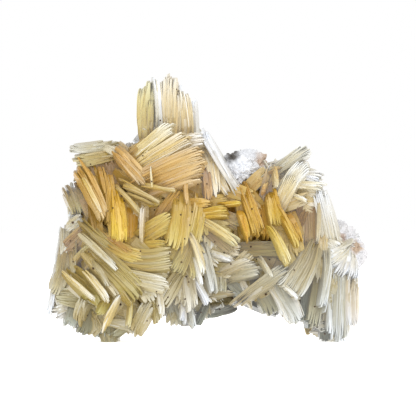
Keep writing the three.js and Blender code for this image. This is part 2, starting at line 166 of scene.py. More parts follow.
# Colours. Triples that srgb takes are sRGB.
PALENESS = 0.61  # brightness of every tone
TONE_DEPTH = np.array((1.15, 1.25, 1.9))  # how much deeper than in thin splinters the tones are
BLUR = 5.0  # how far the colours of neighbouring sheaves run into each other
DEPTH_BLUR = 3.5  # the same for the depths that the undergrowth follows
OWN_SHARE = 0.93  # share of its own tone in a sheaf's colour, the rest being its neighbours'
PALE_START, PALE_RISE = 0.1, 1.3  # how pale a plate's deep root end is, partly its own deeper colour and partly painted shade among the roots, and how late it turns pale
# Colour of frost and painted glints: whitened tips, and highlights painted on tips and rims.
FROST_GLINT = (0.93, 0.955, 0.985)
FROST_GLINT_PALENESS = 0.88  # brightness of the frost and painted glints
FROST_GLINT_AT_TIPS = 0.5  # share of frost and painted glint that every tip has
FROST_GLINT_ALL, FROST_GLINT_TIP, FROST_GLINT_LATENESS = 0.7, 0.2, 2.5  # a plate's own frost and painted glint, all along and at its tip
RIM_GLINT = 0.4  # share of painted glint along the rims of leafy plates
FROST_GLINT_GREY, FROST_GLINT_PALE, FROST_GLINT_DARK = 0.3, 0.5, 1.5  # how little frost and painted glint colourful and dark tones take
OWN_FROST_GLINT = 0.85  # most frost and painted glint that a plate has of its own
CRYSTAL_SPREAD, CRYSTAL_DEPTH = 0.035, 0.7  # how much crystals differ in brightness and in depth
PLATE_SPREAD, PLATE_DEPTH = 0.02, 0.3  # the same for the plates of a crystal
WARM_SPREAD, WARMTH = 0.03, np.array((0.6, 0.2, -1.2))
PAINTED_GLOW = 0.075  # strength of the painted glow, an emission that stands in for light scattered through the crystals
DEEP_PAINTED_GLOW, DEEP_SHEEN = (1.0, 0.70, 0.14), (1.0, 0.88, 0.6)  # painted glow of deep yellow ones, and the tint of what they reflect
WARM_PAINTED_GLOW, WARM_SHEEN = (1.0, 0.79, 0.36), (1.0, 0.95, 0.86)  # the same for pale yellow ones
COOL_PAINTED_GLOW, COOL_SHEEN = (0.92, 0.95, 1.0), (0.94, 0.97, 1.0)  # the same for white ones
WHITE, STAIN = (0.93, 0.94, 0.96), (0.70, 0.55, 0.40)
WHITE_PALENESS, FOOT_PALENESS = 0.8, 0.8  # brightness of the root's white, and of its foot over that
STAIN_NOISES = ((0.07, 1.6, 0.15), (0.3, 0.5, 0.1))  # pitch, strength and the part that leaves no stain
STAIN_LIMIT, LUMP_STAIN = 0.75, 0.3  # most stain anywhere, and its share on the white lumps
BLOT_PITCH, BLOT_NOISE, BLOT_EDGE = 0.5, 0.4, 2  # how ragged blots are, and how steeply they set in
FOOT_COLOUR_TOP, FOOT_FADE = 12.0, 5.0  # below the top the root is pale even between the blades
GAP_PAINTED_SHADE = 0.85  # painted shade: brightness of the root between the blades, which takes the sheaves' deep colour
FRONT_FADE = (-3.0, 4.0)  # the y from which the root takes its own colour instead of that painted shade, and over how much
RUST_DARK, RUST_PALE = (0.14, 0.09, 0.06), (0.34, 0.22, 0.11)
SPECK_UNEVEN = (0.75, 1.25)
RAY_START = -0.1  # y in metres, in front of everything

# Camera
FRAME_WIDTH = 130.0  # what the picture spans at the focus plane
FOCUS_PLANE, CAMERA_DISTANCE = -12.0, 700.0
CAMERA_POINT = (0.16, 42.3)  # x and z that the camera looks at
SENSOR = 36.0

# Each tone: the colour of tips and of rims, whose paleness is a painted highlight, then that of roots and
# crevices, deeper partly by their own colour and partly by painted shade, as sRGB.
TONES = {
    "white": ((0.95, 0.95, 0.96), (0.88, 0.85, 0.80)),
    "ice": ((0.94, 0.95, 0.98), (0.88, 0.86, 0.85)),
    "lilac": ((0.92, 0.89, 0.89), (0.82, 0.77, 0.72)),
    "cream": ((0.95, 0.93, 0.88), (0.87, 0.79, 0.63)),
    "lemon": ((0.91, 0.87, 0.58), (0.80, 0.68, 0.20)),
    "gold": ((0.94, 0.85, 0.44), (0.83, 0.66, 0.14)),
    "amber": ((0.90, 0.73, 0.30), (0.77, 0.57, 0.08)),
    "olive": ((0.80, 0.79, 0.58), (0.65, 0.56, 0.22)),
    "khaki": ((0.80, 0.77, 0.67), (0.64, 0.55, 0.33)),
    "tan": ((0.85, 0.77, 0.58), (0.71, 0.56, 0.24)),
    "umber": ((0.66, 0.60, 0.42), (0.52, 0.43, 0.20)),
    "rust": ((0.62, 0.46, 0.20), (0.44, 0.30, 0.06)),
    "brown": ((0.71, 0.58, 0.31), (0.50, 0.37, 0.10)),
    "blush": ((0.96, 0.91, 0.84), (0.88, 0.78, 0.60)),
    "buff": ((0.92, 0.82, 0.71), (0.78, 0.62, 0.40)),
    # Painted shade: a dark blue-grey for the shaded undersides and toes.
    "lead": ((0.38, 0.41, 0.44), (0.30, 0.29, 0.27)),
    "grey": ((0.66, 0.70, 0.73), (0.55, 0.53, 0.47)),
    # Painted shade: a blue-grey for the shaded bottom edges.
    "slate": ((0.50, 0.55, 0.60), (0.38, 0.37, 0.34)),
}
# Tones that are the mean of others.
BLENDS = {
    "ash": ("ice", "khaki"), "bark": ("tan", "brown"), "creamash": ("cream", "ice"),
    "drab": ("khaki", "grey"), "dun": ("khaki", "tan", "brown"), "goldamber": ("gold", "amber"),
    "goldkhaki": ("gold", "khaki"), "goldtan": ("gold", "tan"), "honey": ("tan", "amber"),
    "ivory": ("white", "cream"), "lemongold": ("lemon", "gold"), "loam": ("olive", "umber"),
    "lemonkhaki": ("lemon", "khaki"), "lemonpale": ("lemon", "cream"), "mist": ("lilac", "khaki", "grey"),
    "moss": ("olive", "olive", "brown"), "murk": ("umber", "grey", "slate"), "russet": ("amber", "brown"),
    "sand": ("tan", "cream"), "shadow": ("slate", "lead"), "straw": ("lemon", "tan"),
    "taupe": ("lilac", "khaki"), "teal": ("grey", "ice"),
}

# Sheaves of crystals, group by group. x, z and y place the middle of the front rims. heading is the
# way the crystals point as seen from the front, in degrees from +X. lean brings their tips forward,
# fan opens the sheaf and roll turns the flat faces to the front. long is the length of a crystal and
# wide the width of the sheaf. deep is a crystal's width behind its rim, count the number of crystals
# and tone their colour. The last group also holds the toes, the pale edges round the outline and the
# sheaves that fill gaps elsewhere.
# name, x, z, y, heading, lean, long, wide, fan, deep, roll, count, tone
SHEAVES = {"spire": [
    ("spire_left", -19.5, 73.5, -8.5, 87, 0, 19, 5.4, 3, 11, 8, 8, "lemonpale"),
    ("spire_white", -15.5, 76, -10, 92, 3, 15.5, 1.8, 0, 10, -10, 3, "white"),
    ("spire_mid", -12.5, 75.5, -9.5, 91, 4, 19, 5, 5, 12, 10, 8, "blush"),
    ("spire_right", -7.5, 72.5, -8.5, 92, 3, 14.5, 5.4, -6, 11, -12, 8, "blush"),
    ("spire_shoulder", -5, 71, -4, 93, 0, 12.5, 2.4, 0, 10, 10, 4, "ice"),
    ("spire_back_a", -16, 73, 3, 90, -4, 19, 8.2, 8, 8, 0, 7, "cream"),
    ("spire_back_b", -8.5, 70.5, 5, 94, -6, 15.5, 7.6, 6, 8, 0, 6, "white"),
], "feather": [
    ("feather_top", -16, 64.5, -13, 38, 6, 14.5, 4, 4, 9, 18, 7, "cream"),
    ("feather_mid", -13.5, 60.5, -14, 30, 8, 19.5, 4.4, 6, 10, 20, 8, "blush"),
    ("feather_end", -6.5, 63, -13, 15, 4, 12.5, 4, 0, 9, 15, 7, "lilac"),
    ("feather_low", -11, 56.5, -16, 22, 8, 22.5, 4.4, 4, 11, 18, 8, "buff"),
    ("feather_edge", -8.5, 53.5, -16, 23, 6, 18, 4, 3, 11, 15, 8, "buff"),
    ("feather_hem", -9.5, 50.5, -15, 20, 4, 15.5, 2.8, 2, 10, 15, 5, "buff"),
    ("feather_spur", -17.5, 52.5, -17, 95, 4, 6, 0.4, 0, 5, 0, 1, "cream"),
    ("feather_lip", -13.5, 48.5, -17, -14, 4, 9.5, 0.6, 0, 6, 10, 1, "sand"),
    ("feather_root", -21, 60, -11, 45, 0, 9.5, 5, 0, 9, 0, 6, "bark"),
], "right_skirt": [
    ("skirt_rim", 3, 58, -12.5, 120, 0, 23, 2.4, 0, 10, 10, 5, "ice"),
    ("skirt_a", 1.5, 55, -11, -80, 6, 20.5, 3.8, -8, 10, 10, 7, "blush"),
    ("skirt_b", 4, 51.5, -10.5, -70, 8, 12.5, 2.8, -6, 10, -8, 7, "blush"),
    ("skirt_c", 0, 51, -12, -84, 8, 15, 2.4, 0, 9, 10, 4, "russet"),
], "right_fan": [
    ("fan_top", 25.5, 57, -9, 38, -4, 17.5, 3.4, 8, 9, 10, 9, "ash"),
    ("fan_face", 26, 51, -11, 50, 2, 17, 4.6, 6, 9, 14, 9, "ivory"),
    ("fan_low", 24, 46.5, -12, 63, 4, 15, 4.4, 4, 10, 12, 9, "sand"),
    ("fan_root", 19, 48, -9, 76, 6, 17.5, 4.6, 2, 10, 5, 7, "bark"),
    ("fan_strip", 20.5, 54, -11, 36, 2, 5.5, 1, 0, 6, 15, 2, "bark"),
    ("fan_spindle", 21.5, 51.5, -13, -86, 6, 7, 1.2, 0, 4, 14, 2, "sand"),
    ("fan_spindle_b", 17.5, 48, -12, 72, 6, 5.5, 1, 0, 4, 14, 2, "honey"),
    ("crest_top", 31.5, 52.5, -8.5, -8, -2, 9.5, 2.8, 24, 9, 15, 6, "ice"),
    ("crest_mid", 31.5, 49.5, -9.5, -2, 2, 10.5, 2.4, 6, 9, 10, 5, "cream"),
    ("crest_tag", 29, 45.5, -11, -20, 6, 5, 1.2, 0, 5, 14, 2, "cream"),
], "right_column": [
    ("column_deep", 28, 39, -8.5, 80, 0, 17.5, 4.4, 0, 8, 40, 4, "brown"),
    ("column_mid", 32.5, 38, -8, -90, 4, 21, 5.6, 4, 10, 12, 10, "bark"),
    ("column_line", 35, 38, -10, -93, 4, 15.5, 1.2, 0, 8, 10, 2, "taupe"),
    ("column_rim", 37, 39.5, -8.5, 102, 0, 19.5, 5, -4, 11, 12, 10, "white"),
    ("column_foot", 36.5, 30, -9, -86, 6, 9.5, 2.8, 0, 8, 8, 7, "sand"),
], "right_lump": [
    ("lump_rays", 44, 25.5, -8.5, -108, 6, 11, 6.8, 50, 9, 10, 13, "ice"),
    ("lump_rays_b", 41.5, 28, -9, -150, 8, 10.5, 4.4, 20, 8, 15, 9, "white"),
    ("lump_rays_c", 45, 32.5, -1, 60, 0, 6, 3.8, 60, 10, 0, 9, "white"),
    ("lump_tuft", 39, 30.5, -9, -30, 10, 5, 3.8, 30, 6, 20, 7, "white"),
], "lower_right": [
    ("foot_main", 40.5, 12, -9, -92, 2, 24.5, 5.6, 2, 12, 10, 11, "teal"),
    ("foot_right", 45, 12.5, -8.5, -90, 0, 18, 4, 2, 12, -10, 7, "lilac"),
    ("foot_tag", 44, 6.5, -8, -90, 0, 9.5, 1.6, 0, 8, 0, 3, "white"),
    ("foot_edge", 46.5, 15.5, 2, -92, 0, 14.5, 2.4, 0, 10, 0, 4, "white"),
    ("foot_blade", 37, 18, -14.5, -98, 6, 15.5, 2.2, 0, 8, 12, 5, "teal"),
    ("foot_inner", 34.5, 14.5, -10, -99, 4, 22, 4, 2, 10, 15, 6, "drab"),
    ("foot_dark", 31.5, 12.5, -8.5, -94, 0, 14.5, 4, 0, 9, 10, 5, "slate"),
    ("apron_left", 29, 21, -14, -119, 8, 14, 7.6, 14, 10, 20, 12, "mist"),
    ("apron_rim", 26, 16.5, -15, -44, 4, 7, 1, 0, 5, 14, 2, "white"),
    ("apron_leg", 25, 13.5, -11, -61, 4, 17, 6.2, -8, 11, 14, 12, "creamash"),
    ("apron_white", 25.5, 12.5, -12, -62, 4, 15, 2.8, 0, 9, 25, 3, "teal"),
    ("apron_khaki", 18.5, 14, -9, -64, 2, 12, 5.4, 0, 10, 12, 6, "murk"),
], "amber": [
    ("sabre", 22.5, 31.5, -18, -63, 6, 15.5, 2.2, 3, 7, 12, 5, "lemonpale"),
    ("sabre_b", 26, 35.5, -16, -64, 6, 14.5, 1.8, 0, 7, 16, 3, "goldtan"),
    ("sabre_c", 27.5, 36.5, -14, -66, 6, 10.5, 1.6, 0, 6, 14, 2, "honey"),
    ("tongue", 21, 42.5, -13, -80, 8, 13, 4, 6, 8, 12, 7, "goldtan"),
    ("amber_deep", 18, 40, -9, -84, 4, 17, 3.8, 0, 8, 10, 5, "amber"),
    ("amber_blade", 11.5, 38, -15, -73, 8, 12.5, 1.8, 0, 6, 12, 2, "goldamber"),
    ("amber_fan", 14, 41.5, -13, -73, 6, 18, 3.8, 4, 8, 15, 8, "honey"),
    ("amber_back", 12, 36.5, -8.5, -80, 0, 11, 5, 0, 8, 10, 5, "brown"),
    ("gold_leaf", 2, 41, -14, 12, 4, 10, 3.4, 4, 6, 15, 7, "goldtan"),
    ("gold_leaf_b", 8, 44, -14, 6, 4, 5, 1.2, 0, 5, 15, 4, "gold"),
], "centre": [
    ("centre_lemon", -8.5, 36.5, -17, -98, 8, 17, 6, 6, 10, 14, 9, "goldkhaki"),
    ("centre_lemon_b", -3.5, 36.5, -15, -101, 8, 13, 4.4, 4, 9, 18, 6, "straw"),
    ("centre_spike", -6.5, 46.5, -16, -85, 8, 6.5, 1, 0, 3, 8, 1, "buff"),
    ("centre_recess", -3.5, 48.5, -9, -88, 2, 9.5, 5.6, 0, 8, 5, 6, "honey"),
    ("centre_ledge", -3.5, 44, -13, 5, 4, 10, 2.8, 0, 8, 20, 4, "honey"),
], "fishbone": [
    ("fish_right", -15.5, 36.5, -15, 30, 8, 12, 6, 4, 10, 14, 9, "goldkhaki"),
    ("fish_upper", -12.5, 43.5, -13, 52, 6, 13, 3.2, 4, 9, 14, 5, "russet"),
    ("fish_rib", -20.5, 37.5, -17, 87, 6, 10.5, 1, 0, 8, 10, 2, "lilac"),
    ("fish_deep", -16, 41, -9, 38, 0, 9.5, 4.4, 0, 9, 10, 5, "honey"),
    ("veil", -19.5, 50, -12, -46, 4, 17, 5.6, 4, 8, 45, 5, "dun"),
    ("veil_rim", -19, 46.5, -16, -28, 6, 10.5, 0.8, 0, 6, 12, 2, "sand"),
    ("veil_rim_b", -20, 45, -14, -22, 6, 9, 0.6, 0, 6, 12, 2, "sand"),
    ("veil_low", -23.5, 44, -14, -47, 8, 12, 1.2, 2, 7, 12, 3, "sand"),
    ("veil_gold", -18, 44, -11, 10, 4, 11, 2.4, 0, 8, 15, 4, "gold"),
], "top_left": [
    ("wing_upper", -37, 61, -8.5, 187, 0, 14.5, 2.4, 0, 10, 12, 6, "teal"),
    ("wing_lower", -36.5, 57.5, -9, 189, 2, 12, 3.8, 6, 10, 12, 6, "khaki"),
    ("wing_ridge", -29, 60, -9, -26, 4, 12.5, 2.2, 0, 9, 20, 4, "white"),
    ("peach_mane", -24, 56, -13, -49, 6, 18, 4, 4, 10, 16, 7, "buff"),
    ("peach_mane_low", -22.5, 53.5, -14, -46, 6, 12.5, 1.2, 0, 8, 15, 3, "buff"),
    ("hollow_back", -31.5, 53.5, -8.5, -74, 0, 12.5, 9.4, 0, 6, 10, 8, "rust"),
], "left_column": [
    ("long_a", -35.5, 47.5, -13, -64, 8, 20.5, 4, -3, 9, 16, 6, "buff"),
    ("long_rim", -36, 47, -15, -62, 8, 14.5, 1, 0, 6, 10, 1, "blush"),
    ("long_b", -32.5, 47.5, -10, -67, 8, 16, 2.8, 0, 8, 14, 4, "honey"),
    ("long_spike", -32.5, 50, -12, -77, 8, 7, 1, 0, 4, 20, 1, "russet"),
    ("long_c", -30, 44, -12, -84, 8, 17, 3.4, 4, 9, 14, 5, "honey"),
    ("long_gold", -27.5, 37.5, -15, -85, 8, 14.5, 4.6, 4, 9, 12, 8, "gold"),
    ("long_amber", -23.5, 36.5, -12, -92, 6, 14.5, 3.2, 0, 9, 12, 5, "amber"),
    ("long_tip", -34.5, 37, -12, -84, 8, 9, 3.2, 0, 7, 20, 4, "brown"),
], "left_edge": [
    ("left_top", -41.5, 45, -8.5, -66, 0, 11, 5, 4, 10, 12, 8, "loam"),
    ("left_tan", -37.5, 43.5, -9, -67, 4, 15.5, 3.8, 2, 9, 12, 6, "bark"),
    ("left_vee", -42, 37.5, -8.5, 36, 0, 7.5, 3.4, 0, 9, 15, 5, "ash"),
    ("left_slant", -41, 31.5, -9.5, 42, 4, 14.5, 6.6, 4, 10, 14, 9, "bark"),
    ("left_slant_rim", -39, 29, -12, 44, 6, 8, 1.2, 0, 7, 20, 2, "lemonkhaki"),
    ("left_side", -45, 26, -8, -98, 0, 15, 4, 2, 10, 12, 7, "khaki"),
    ("left_post", -42, 24, -11, -92, 4, 9, 1.6, 0, 7, 15, 3, "khaki"),
    ("left_tips", -46, 20, -8.5, -108, 2, 12, 3.8, 4, 9, 16, 5, "khaki"),
    ("nook_back", -38.5, 27, -8.5, -80, 0, 9, 5.6, 0, 7, 5, 6, "rust"),
    ("nook_spike", -36, 26, -12, -118, 8, 7, 1.2, 0, 4, 14, 2, "tan"),
], "left_lower_lobe": [
    ("shelf", -41.5, 14, -8.5, 174, 0, 14.5, 6.2, -12, 11, 18, 8, "drab"),
    ("shelf_low", -45, 10, -5, 205, 0, 7.5, 4, 20, 10, 15, 5, "ice"),
    ("shelf_spikes", -40, 10, -11, 77, 4, 9, 3.4, 4, 8, 18, 4, "mist"),
    ("foot_left_dark", -37.5, 7, -8.5, -107, 0, 10.5, 3.8, 6, 9, 12, 6, "slate"),
    ("foot_left_leaf", -34.5, 6, -9, -72, 2, 9.5, 2.2, 4, 5, 50, 2, "mist"),
    ("petal_rim", -38.5, 17, -16, -41, 6, 11, 1.2, 0, 7, 12, 4, "cream"),
    ("petal_face", -36, 18, -13, -43, 4, 15.5, 4.4, 0, 8, 45, 4, "olive"),
    ("petal_bright", -33, 17, -17.5, -52, 6, 10, 1.8, 0, 7, 14, 4, "cream"),
    ("petal_white", -32.5, 28, -17.5, -44, 6, 14.5, 1.8, 0, 7, 12, 4, "ash"),
    ("petal_white_b", -32.5, 21.5, -18, -57, 6, 8, 1.6, 0, 6, 12, 4, "mist"),
    ("petal_olive", -27, 21.5, -17, -44, 6, 20, 6.8, 4, 10, 18, 8, "loam"),
    ("petal_olive_b", -31, 21, -16, -52, 4, 16, 3.8, 0, 9, 22, 4, "taupe"),
    ("sweep_a", -31.5, 30.5, -14, -43, 6, 15.5, 4.4, 2, 9, 16, 6, "loam"),
    ("sweep_b", -24.5, 28.5, -16, -28, 8, 15, 4.6, 0, 9, 18, 8, "goldkhaki"),
    ("sweep_c", -17.5, 26.5, -17, -4, 6, 15.5, 6.8, 4, 10, 22, 9, "khaki"),
    ("sweep_top", -17, 31, -14, 2, 4, 12, 2.4, 0, 9, 18, 4, "lemongold"),
    ("sweep_white", -18.5, 20, -18, -11, 6, 15, 4.4, 4, 8, 24, 7, "ash"),
    ("sweep_tips", -26.5, 30.5, -16, -37, 8, 8, 1.6, 0, 6, 20, 2, "russet"),
], "bottom_left": [
    ("spike_lemon", -29.5, 11.5, -16, 63, 4, 12, 1.2, 2, 6, 12, 3, "cream"),
    ("spike_olive", -32, 11.5, -14, -118, 4, 6, 2.2, 0, 6, 20, 3, "olive"),
    ("spike_post", -24, 9, -14, -94, 4, 9.5, 1, 0, 6, 8, 2, "lemonpale"),
    ("spike_slant", -21, 7.5, -11, 62, 2, 13, 4, 4, 8, 20, 5, "ash"),
    ("belly", -28, 6, -9, -8, 0, 13, 2.8, 10, 9, 15, 6, "ash"),
    ("belly_back", -26, 11, -8.5, -20, 0, 12.5, 5, 0, 9, 15, 5, "taupe"),
    ("tips_bottom", -26.5, 4, -8.5, -143, 0, 8, 2.4, 6, 8, 15, 4, "grey"),
    ("tips_bottom_b", -31, 5, -8.5, -100, 0, 6, 3.2, 10, 8, 10, 4, "shadow"),
    ("leaf_a", -14.5, 13.5, -14, -80, 4, 10.5, 1.6, 0, 5, 20, 2, "creamash"),
    ("leaf_b", -16, 11.5, -11, -84, 2, 12.5, 1.8, 2, 5, 20, 3, "khaki"),
    ("leaf_cross", -11, 17.5, -13, -122, 6, 15.5, 4.6, 6, 7, 20, 5, "mist"),
], "centre_bottom": [
    ("tassel_gold", -7.5, 26.5, -18, -112, 8, 10.5, 4, 6, 8, 20, 6, "moss"),
    ("tassel_white", -2.5, 27.5, -19, -72, 8, 12.5, 1.8, 0, 5, 15, 3, "cream"),
    ("tassel_white_b", -2.5, 22, -19, -74, 8, 7.5, 1, 0, 4, 15, 2, "white"),
    ("tassel_gold_b", -4.5, 25.5, -17, -80, 8, 12.5, 2.4, 0, 7, 25, 4, "lemonkhaki"),
    ("tassel_lilac", 1, 22.5, -15, -77, 6, 15, 2.4, 3, 6, 15, 4, "teal"),
    ("tassel_khaki", -5.5, 17, -13, -83, 6, 14.5, 4, 4, 7, 15, 5, "taupe"),
    ("tassel_leaf", -1.5, 16, -13, -60, 4, 10, 1.8, 0, 6, 20, 3, "ice"),
    ("hem_tan", -11, 13, -8.5, -80, 0, 10.5, 4.6, 0, 8, 12, 6, "murk"),
    ("hem_a", -9, 10, -9, -70, 2, 9.5, 1.8, 0, 5, 20, 3, "murk"),
    ("hem_b", -7.5, 11, -10, -88, 2, 9.5, 1.6, 0, 5, 20, 3, "ice"),
    ("hem_c", -5, 9, -9, -78, 2, 10.5, 1.8, 0, 5, 20, 3, "teal"),
    ("hem_d", -1.5, 8.5, -8, -112, 0, 8, 1.8, 0, 5, 20, 3, "slate"),
    ("hem_shade", 3.5, 10.5, -3, 195, 0, 13, 5, 0, 9, 20, 6, "slate"),
    ("block_posts", 4, 19, -11, -88, 2, 7.5, 3.8, 0, 7, 15, 4, "drab"),
    ("block_lip", 4, 15.5, -10, 8, 2, 7.5, 1.6, 0, 7, 14, 3, "mist"),
], "centre_right_lower": [
    ("weave_lemon", 4.5, 35, -15, -33, 8, 14, 2.2, 4, 8, 22, 4, "lemonpale"),
    ("weave_khaki", 4, 32.5, -12, -38, 6, 12, 3.8, 4, 8, 12, 8, "dun"),
    ("weave_posts", 1, 31.5, -11, -88, 4, 7.5, 3.8, 0, 7, 15, 4, "cream"),
    ("weave_tan", 6, 39.5, -9, -20, 4, 12.5, 3.8, 4, 8, 14, 8, "goldtan"),
    ("weave_white", 4, 27.5, -13, -17, 6, 8, 1.6, 0, 6, 14, 2, "white"),
    ("weave_band", 16.5, 29.5, -10, 3, 4, 19, 4.6, 0, 9, 20, 9, "loam"),
    ("weave_cream", 8.5, 24, -12, 23, 6, 12.5, 3.2, 2, 8, 14, 7, "taupe"),
    ("weave_sparkle", 11.5, 22.5, -12, 14, 6, 11, 4, 6, 8, 22, 7, "mist"),
    ("weave_beam", 17, 18.5, -13, 36, 4, 22, 3.8, 3, 9, 16, 7, "mist"),
    ("weave_cross", 9, 17, -9, -52, 2, 9.5, 3.2, 0, 8, 15, 4, "grey"),
    ("weave_vee", 11.5, 18, -9.5, -65, 2, 6, 1.8, 10, 6, 20, 3, "creamash"),
    ("weave_thin", 19, 23, -14, -58, 4, 6, 1, 0, 4, 14, 2, "ash"),
    ("weave_deep", 19.5, 24, -8.5, 60, 0, 9.5, 6.2, 0, 8, 10, 6, "tan"),
    ("arch_left", 5, 11, 1, -140, 0, 9.5, 3.2, 0, 9, 10, 5, "lead"),
    ("arch_right", 17, 11.5, -3, -24, 0, 14, 2.2, 0, 9, 10, 4, "lead"),
    ("foot_left_edge", -42.5, 8, -8.5, -105, 0, 7.5, 3.8, 4, 9, 10, 3, "grey"),
    ("fan_back", 26.5, 58, -5, 30, 0, 12.5, 2.4, 0, 8, 0, 3, "ice"),
    ("toe_a", -38.5, 6, -7.5, -104, 0, 8, 3.8, 8, 9, 6, 6, "lead"),
    ("toe_b", -34, 4.5, -7, -94, 0, 7, 3.8, 4, 9, 0, 6, "grey"),
    ("toe_c", -29.5, 4.5, -7, -84, 0, 7, 3.8, 4, 9, 0, 6, "drab"),
    ("toe_d", -24, 6, -7, -70, 0, 7.5, 4.4, 4, 9, 0, 6, "khaki"),
    ("toe_e", 37.5, 4, -7, -96, 0, 8, 3.8, 4, 9, 0, 6, "lead"),
    ("toe_f", 42, 3.5, -7, -88, 0, 8, 4, 4, 9, 0, 6, "white"),
    ("halo_left", -47.5, 25.5, -6, -97, 0, 20, 1.6, 2, 9, 0, 3, "ice"),
    ("halo_low", -49, 14.5, -5.5, -100, 0, 12.5, 1.8, 6, 9, 0, 4, "ice"),
    ("halo_top", -43.5, 43.5, -5, -84, 0, 15.5, 1.6, 0, 9, 0, 3, "white"),
    ("spire_back", -13.5, 74, -5, 90, 0, 19, 10.6, 2, 8, 0, 14, "ice"),
    ("spire_lemon", -18, 70.5, -10, 88, 2, 10.5, 1.8, 2, 9, 8, 4, "lemonkhaki"),
    ("left_fill", -44, 31.5, -8, -95, 0, 11, 3.8, 0, 9, 8, 6, "ash"),
]}

# Groups with the deepest yellow, and those that are white more than yellow.
DEEP_GROUPS = ("amber", "left_column")
WHITE_GROUPS = (
    "spire", "right_skirt", "right_column", "right_lump", "lower_right", "centre_right_lower",
    "left_edge", "centre_bottom", "right_fan", "round_the_sides", "on_the_back",
)

# Sheaves that end where they are seen to end, so that what lies behind them shows.
SHORT_ROOTS = {
    "amber_fan", "amber_blade", "amber_deep", "amber_back", "tongue", "sabre", "sabre_b", "sabre_c",
    "fan_root", "fan_strip", "fan_spindle", "fan_spindle_b", "skirt_b", "skirt_a",
}

# Sheaves that curve, as a share of their length. Positive bulges away from the stack side.
BENDS = {"sweep_a": 0.06, "sweep_b": 0.1, "sweep_c": 0.1}

# The massive root's outline: x, z.
ROOT_OUTLINE = [
    (-17.5, 74), (-15, 77.5), (-11.5, 77.5), (-9.5, 74.5), (-7, 69.5), (-4, 64.5), (-1, 58.5),
    (2.5, 55.5), (7.5, 55), (17, 55), (23.5, 55.5), (28.5, 57.5), (31, 53.5), (33, 46), (35, 40),
    (39.5, 34.5), (45, 30.5), (44.5, 25.5), (43, 20), (44.5, 14), (44, 8.5), (42.5, 2.5), (42, 0.5),
    (37.5, 0.5), (36, 3.5), (32, 8), (23.5, 10), (17, 13.5), (10, 14), (3, 10.5), (-3, 8.5), (-12.5, 8.5),
    (-19, 12.5), (-23, 9), (-27, 4.5), (-28, 1), (-34, 1.5), (-35.5, 2.5), (-39, 4), (-44, 8),
    (-46.5, 13.5), (-46, 21.5), (-45, 28), (-42.5, 33.5), (-41.5, 40), (-42, 45.5), (-40, 50.5),
    (-39, 54), (-38.5, 58), (-35, 60.5), (-28, 61.5), (-22.5, 61.5), (-20, 65), (-19.5, 70.5),
]

# Lumps that swell out of the root: centre x, y, z, then half sizes along x, y, z.
LUMPS = [
    (12, 2, 54, 7.5, 7, 7.5),
    (42.5, 3, 29, 8.0, 8, 8.6),
    (-26, 7, 30, 17, 7.5, 19),
    (2, 8, 34, 17, 6.5, 15),
    (30, 7, 30, 13, 7.5, 17),
    (-13, 7, 62, 7, 6, 14),
    (9.5, -3.5, 54.5, 6.2, 7.5, 6.0),
]
WHITE_LUMPS = (0, 1, 6)

# Stains on the white lumps: x, z, radius and colour.
BLOTS = [
    (7.5, 59.0, 3.0, (0.42, 0.40, 0.38)),
    (18.5, 58.0, 3.5, (0.94, 0.84, 0.75)),
    (41.0, 32.0, 3.5, (0.88, 0.78, 0.72)),
    (47.5, 30.0, 2.5, (0.86, 0.76, 0.66)),
]

# Rust specks on the bladed face: x, z and size.
SPECKS = [
    (-14.8, 69.8, 0.6), (-9.8, 79.5, 0.6), (-6.1, 63.9, 0.6), (-20.2, 58.6, 0.6), (-36.7, 56.1, 0.6),
    (-26.7, 46.1, 0.9), (-29.5, 42.3, 0.6), (-31.1, 41.4, 0.6), (-26.1, 44.5, 0.6), (-42.3, 37.7, 0.9),
    (-43, 32, 0.6), (-17.3, 50.5, 0.6), (-16.7, 41.7, 0.6), (-3, 49.8, 0.6), (-0.2, 49.8, 0.6),
    (-4.8, 41.1, 0.6), (-8.3, 40.2, 0.6), (-5.5, 37, 0.6), (-7, 32.7, 0.6), (-14.8, 33, 0.6),
    (2.3, 31.7, 0.6), (-0.2, 31.4, 0.6), (13.9, 42, 0.6), (16.7, 39.8, 0.9), (17.7, 36.7, 0.6),
    (20.5, 49.2, 0.6), (14.5, 35.2, 0.6), (15.2, 33, 0.6), (9.2, 31.7, 0.6), (11.7, 31.7, 0.6),
    (13.6, 30.2, 0.6), (8, 30.2, 0.6), (5.2, 28.3, 0.6), (19.2, 32.3, 0.6), (19.5, 26.1, 0.6),
    (15.5, 26.1, 0.6), (7.3, 24.8, 0.6), (-42, 25.5, 0.6), (-40.8, 23.3, 0.6), (-37, 28.6, 0.6),
    (-35.5, 23.6, 0.9), (-20.8, 28.9, 0.6), (-11.7, 28.3, 0.6), (-8, 25.5, 0.6), (-6.7, 20.8, 0.6),
    (-5.8, 19.2, 0.6), (-15.8, 16.4, 0.6), (-15.2, 12, 0.6), (-12.3, 14.5, 0.6), (-8.6, 12.3, 0.6),
    (-7, 13.9, 0.6), (-30.5, 13, 0.6), (-27.3, 12, 0.9), (-22.7, 14.8, 0.6), (-18.9, 7, 0.6),
    (-37.7, 8.6, 0.6), (-2, 9.5, 0.6), (3.9, 10.2, 0.6), (7.7, 13.9, 0.6), (0.2, 12.3, 0.6),
    (18.3, 15.2, 0.9), (27, 23, 0.6), (35.8, 50.5, 0.6), (33.6, 11.4, 0.6), (37, 2.7, 0.6),
    (34.5, 4.8, 0.6), (23.6, 8.3, 0.6),
]


def srgb(colour):
    """The linear values of an sRGB colour."""
    c = np.asarray(colour, float)
    return np.where(c <= 0.04045, c / 12.92, ((c + 0.055) / 1.055) ** 2.4)


def tone_colours(tone):
    """Tip and root colour of a tone, linear."""
    parts = [TONES[name] for name in BLENDS.get(tone, (tone,))]
    return [PALENESS * np.mean([srgb(part[end]) for part in parts], axis=0) ** TONE_DEPTH for end in (0, 1)]


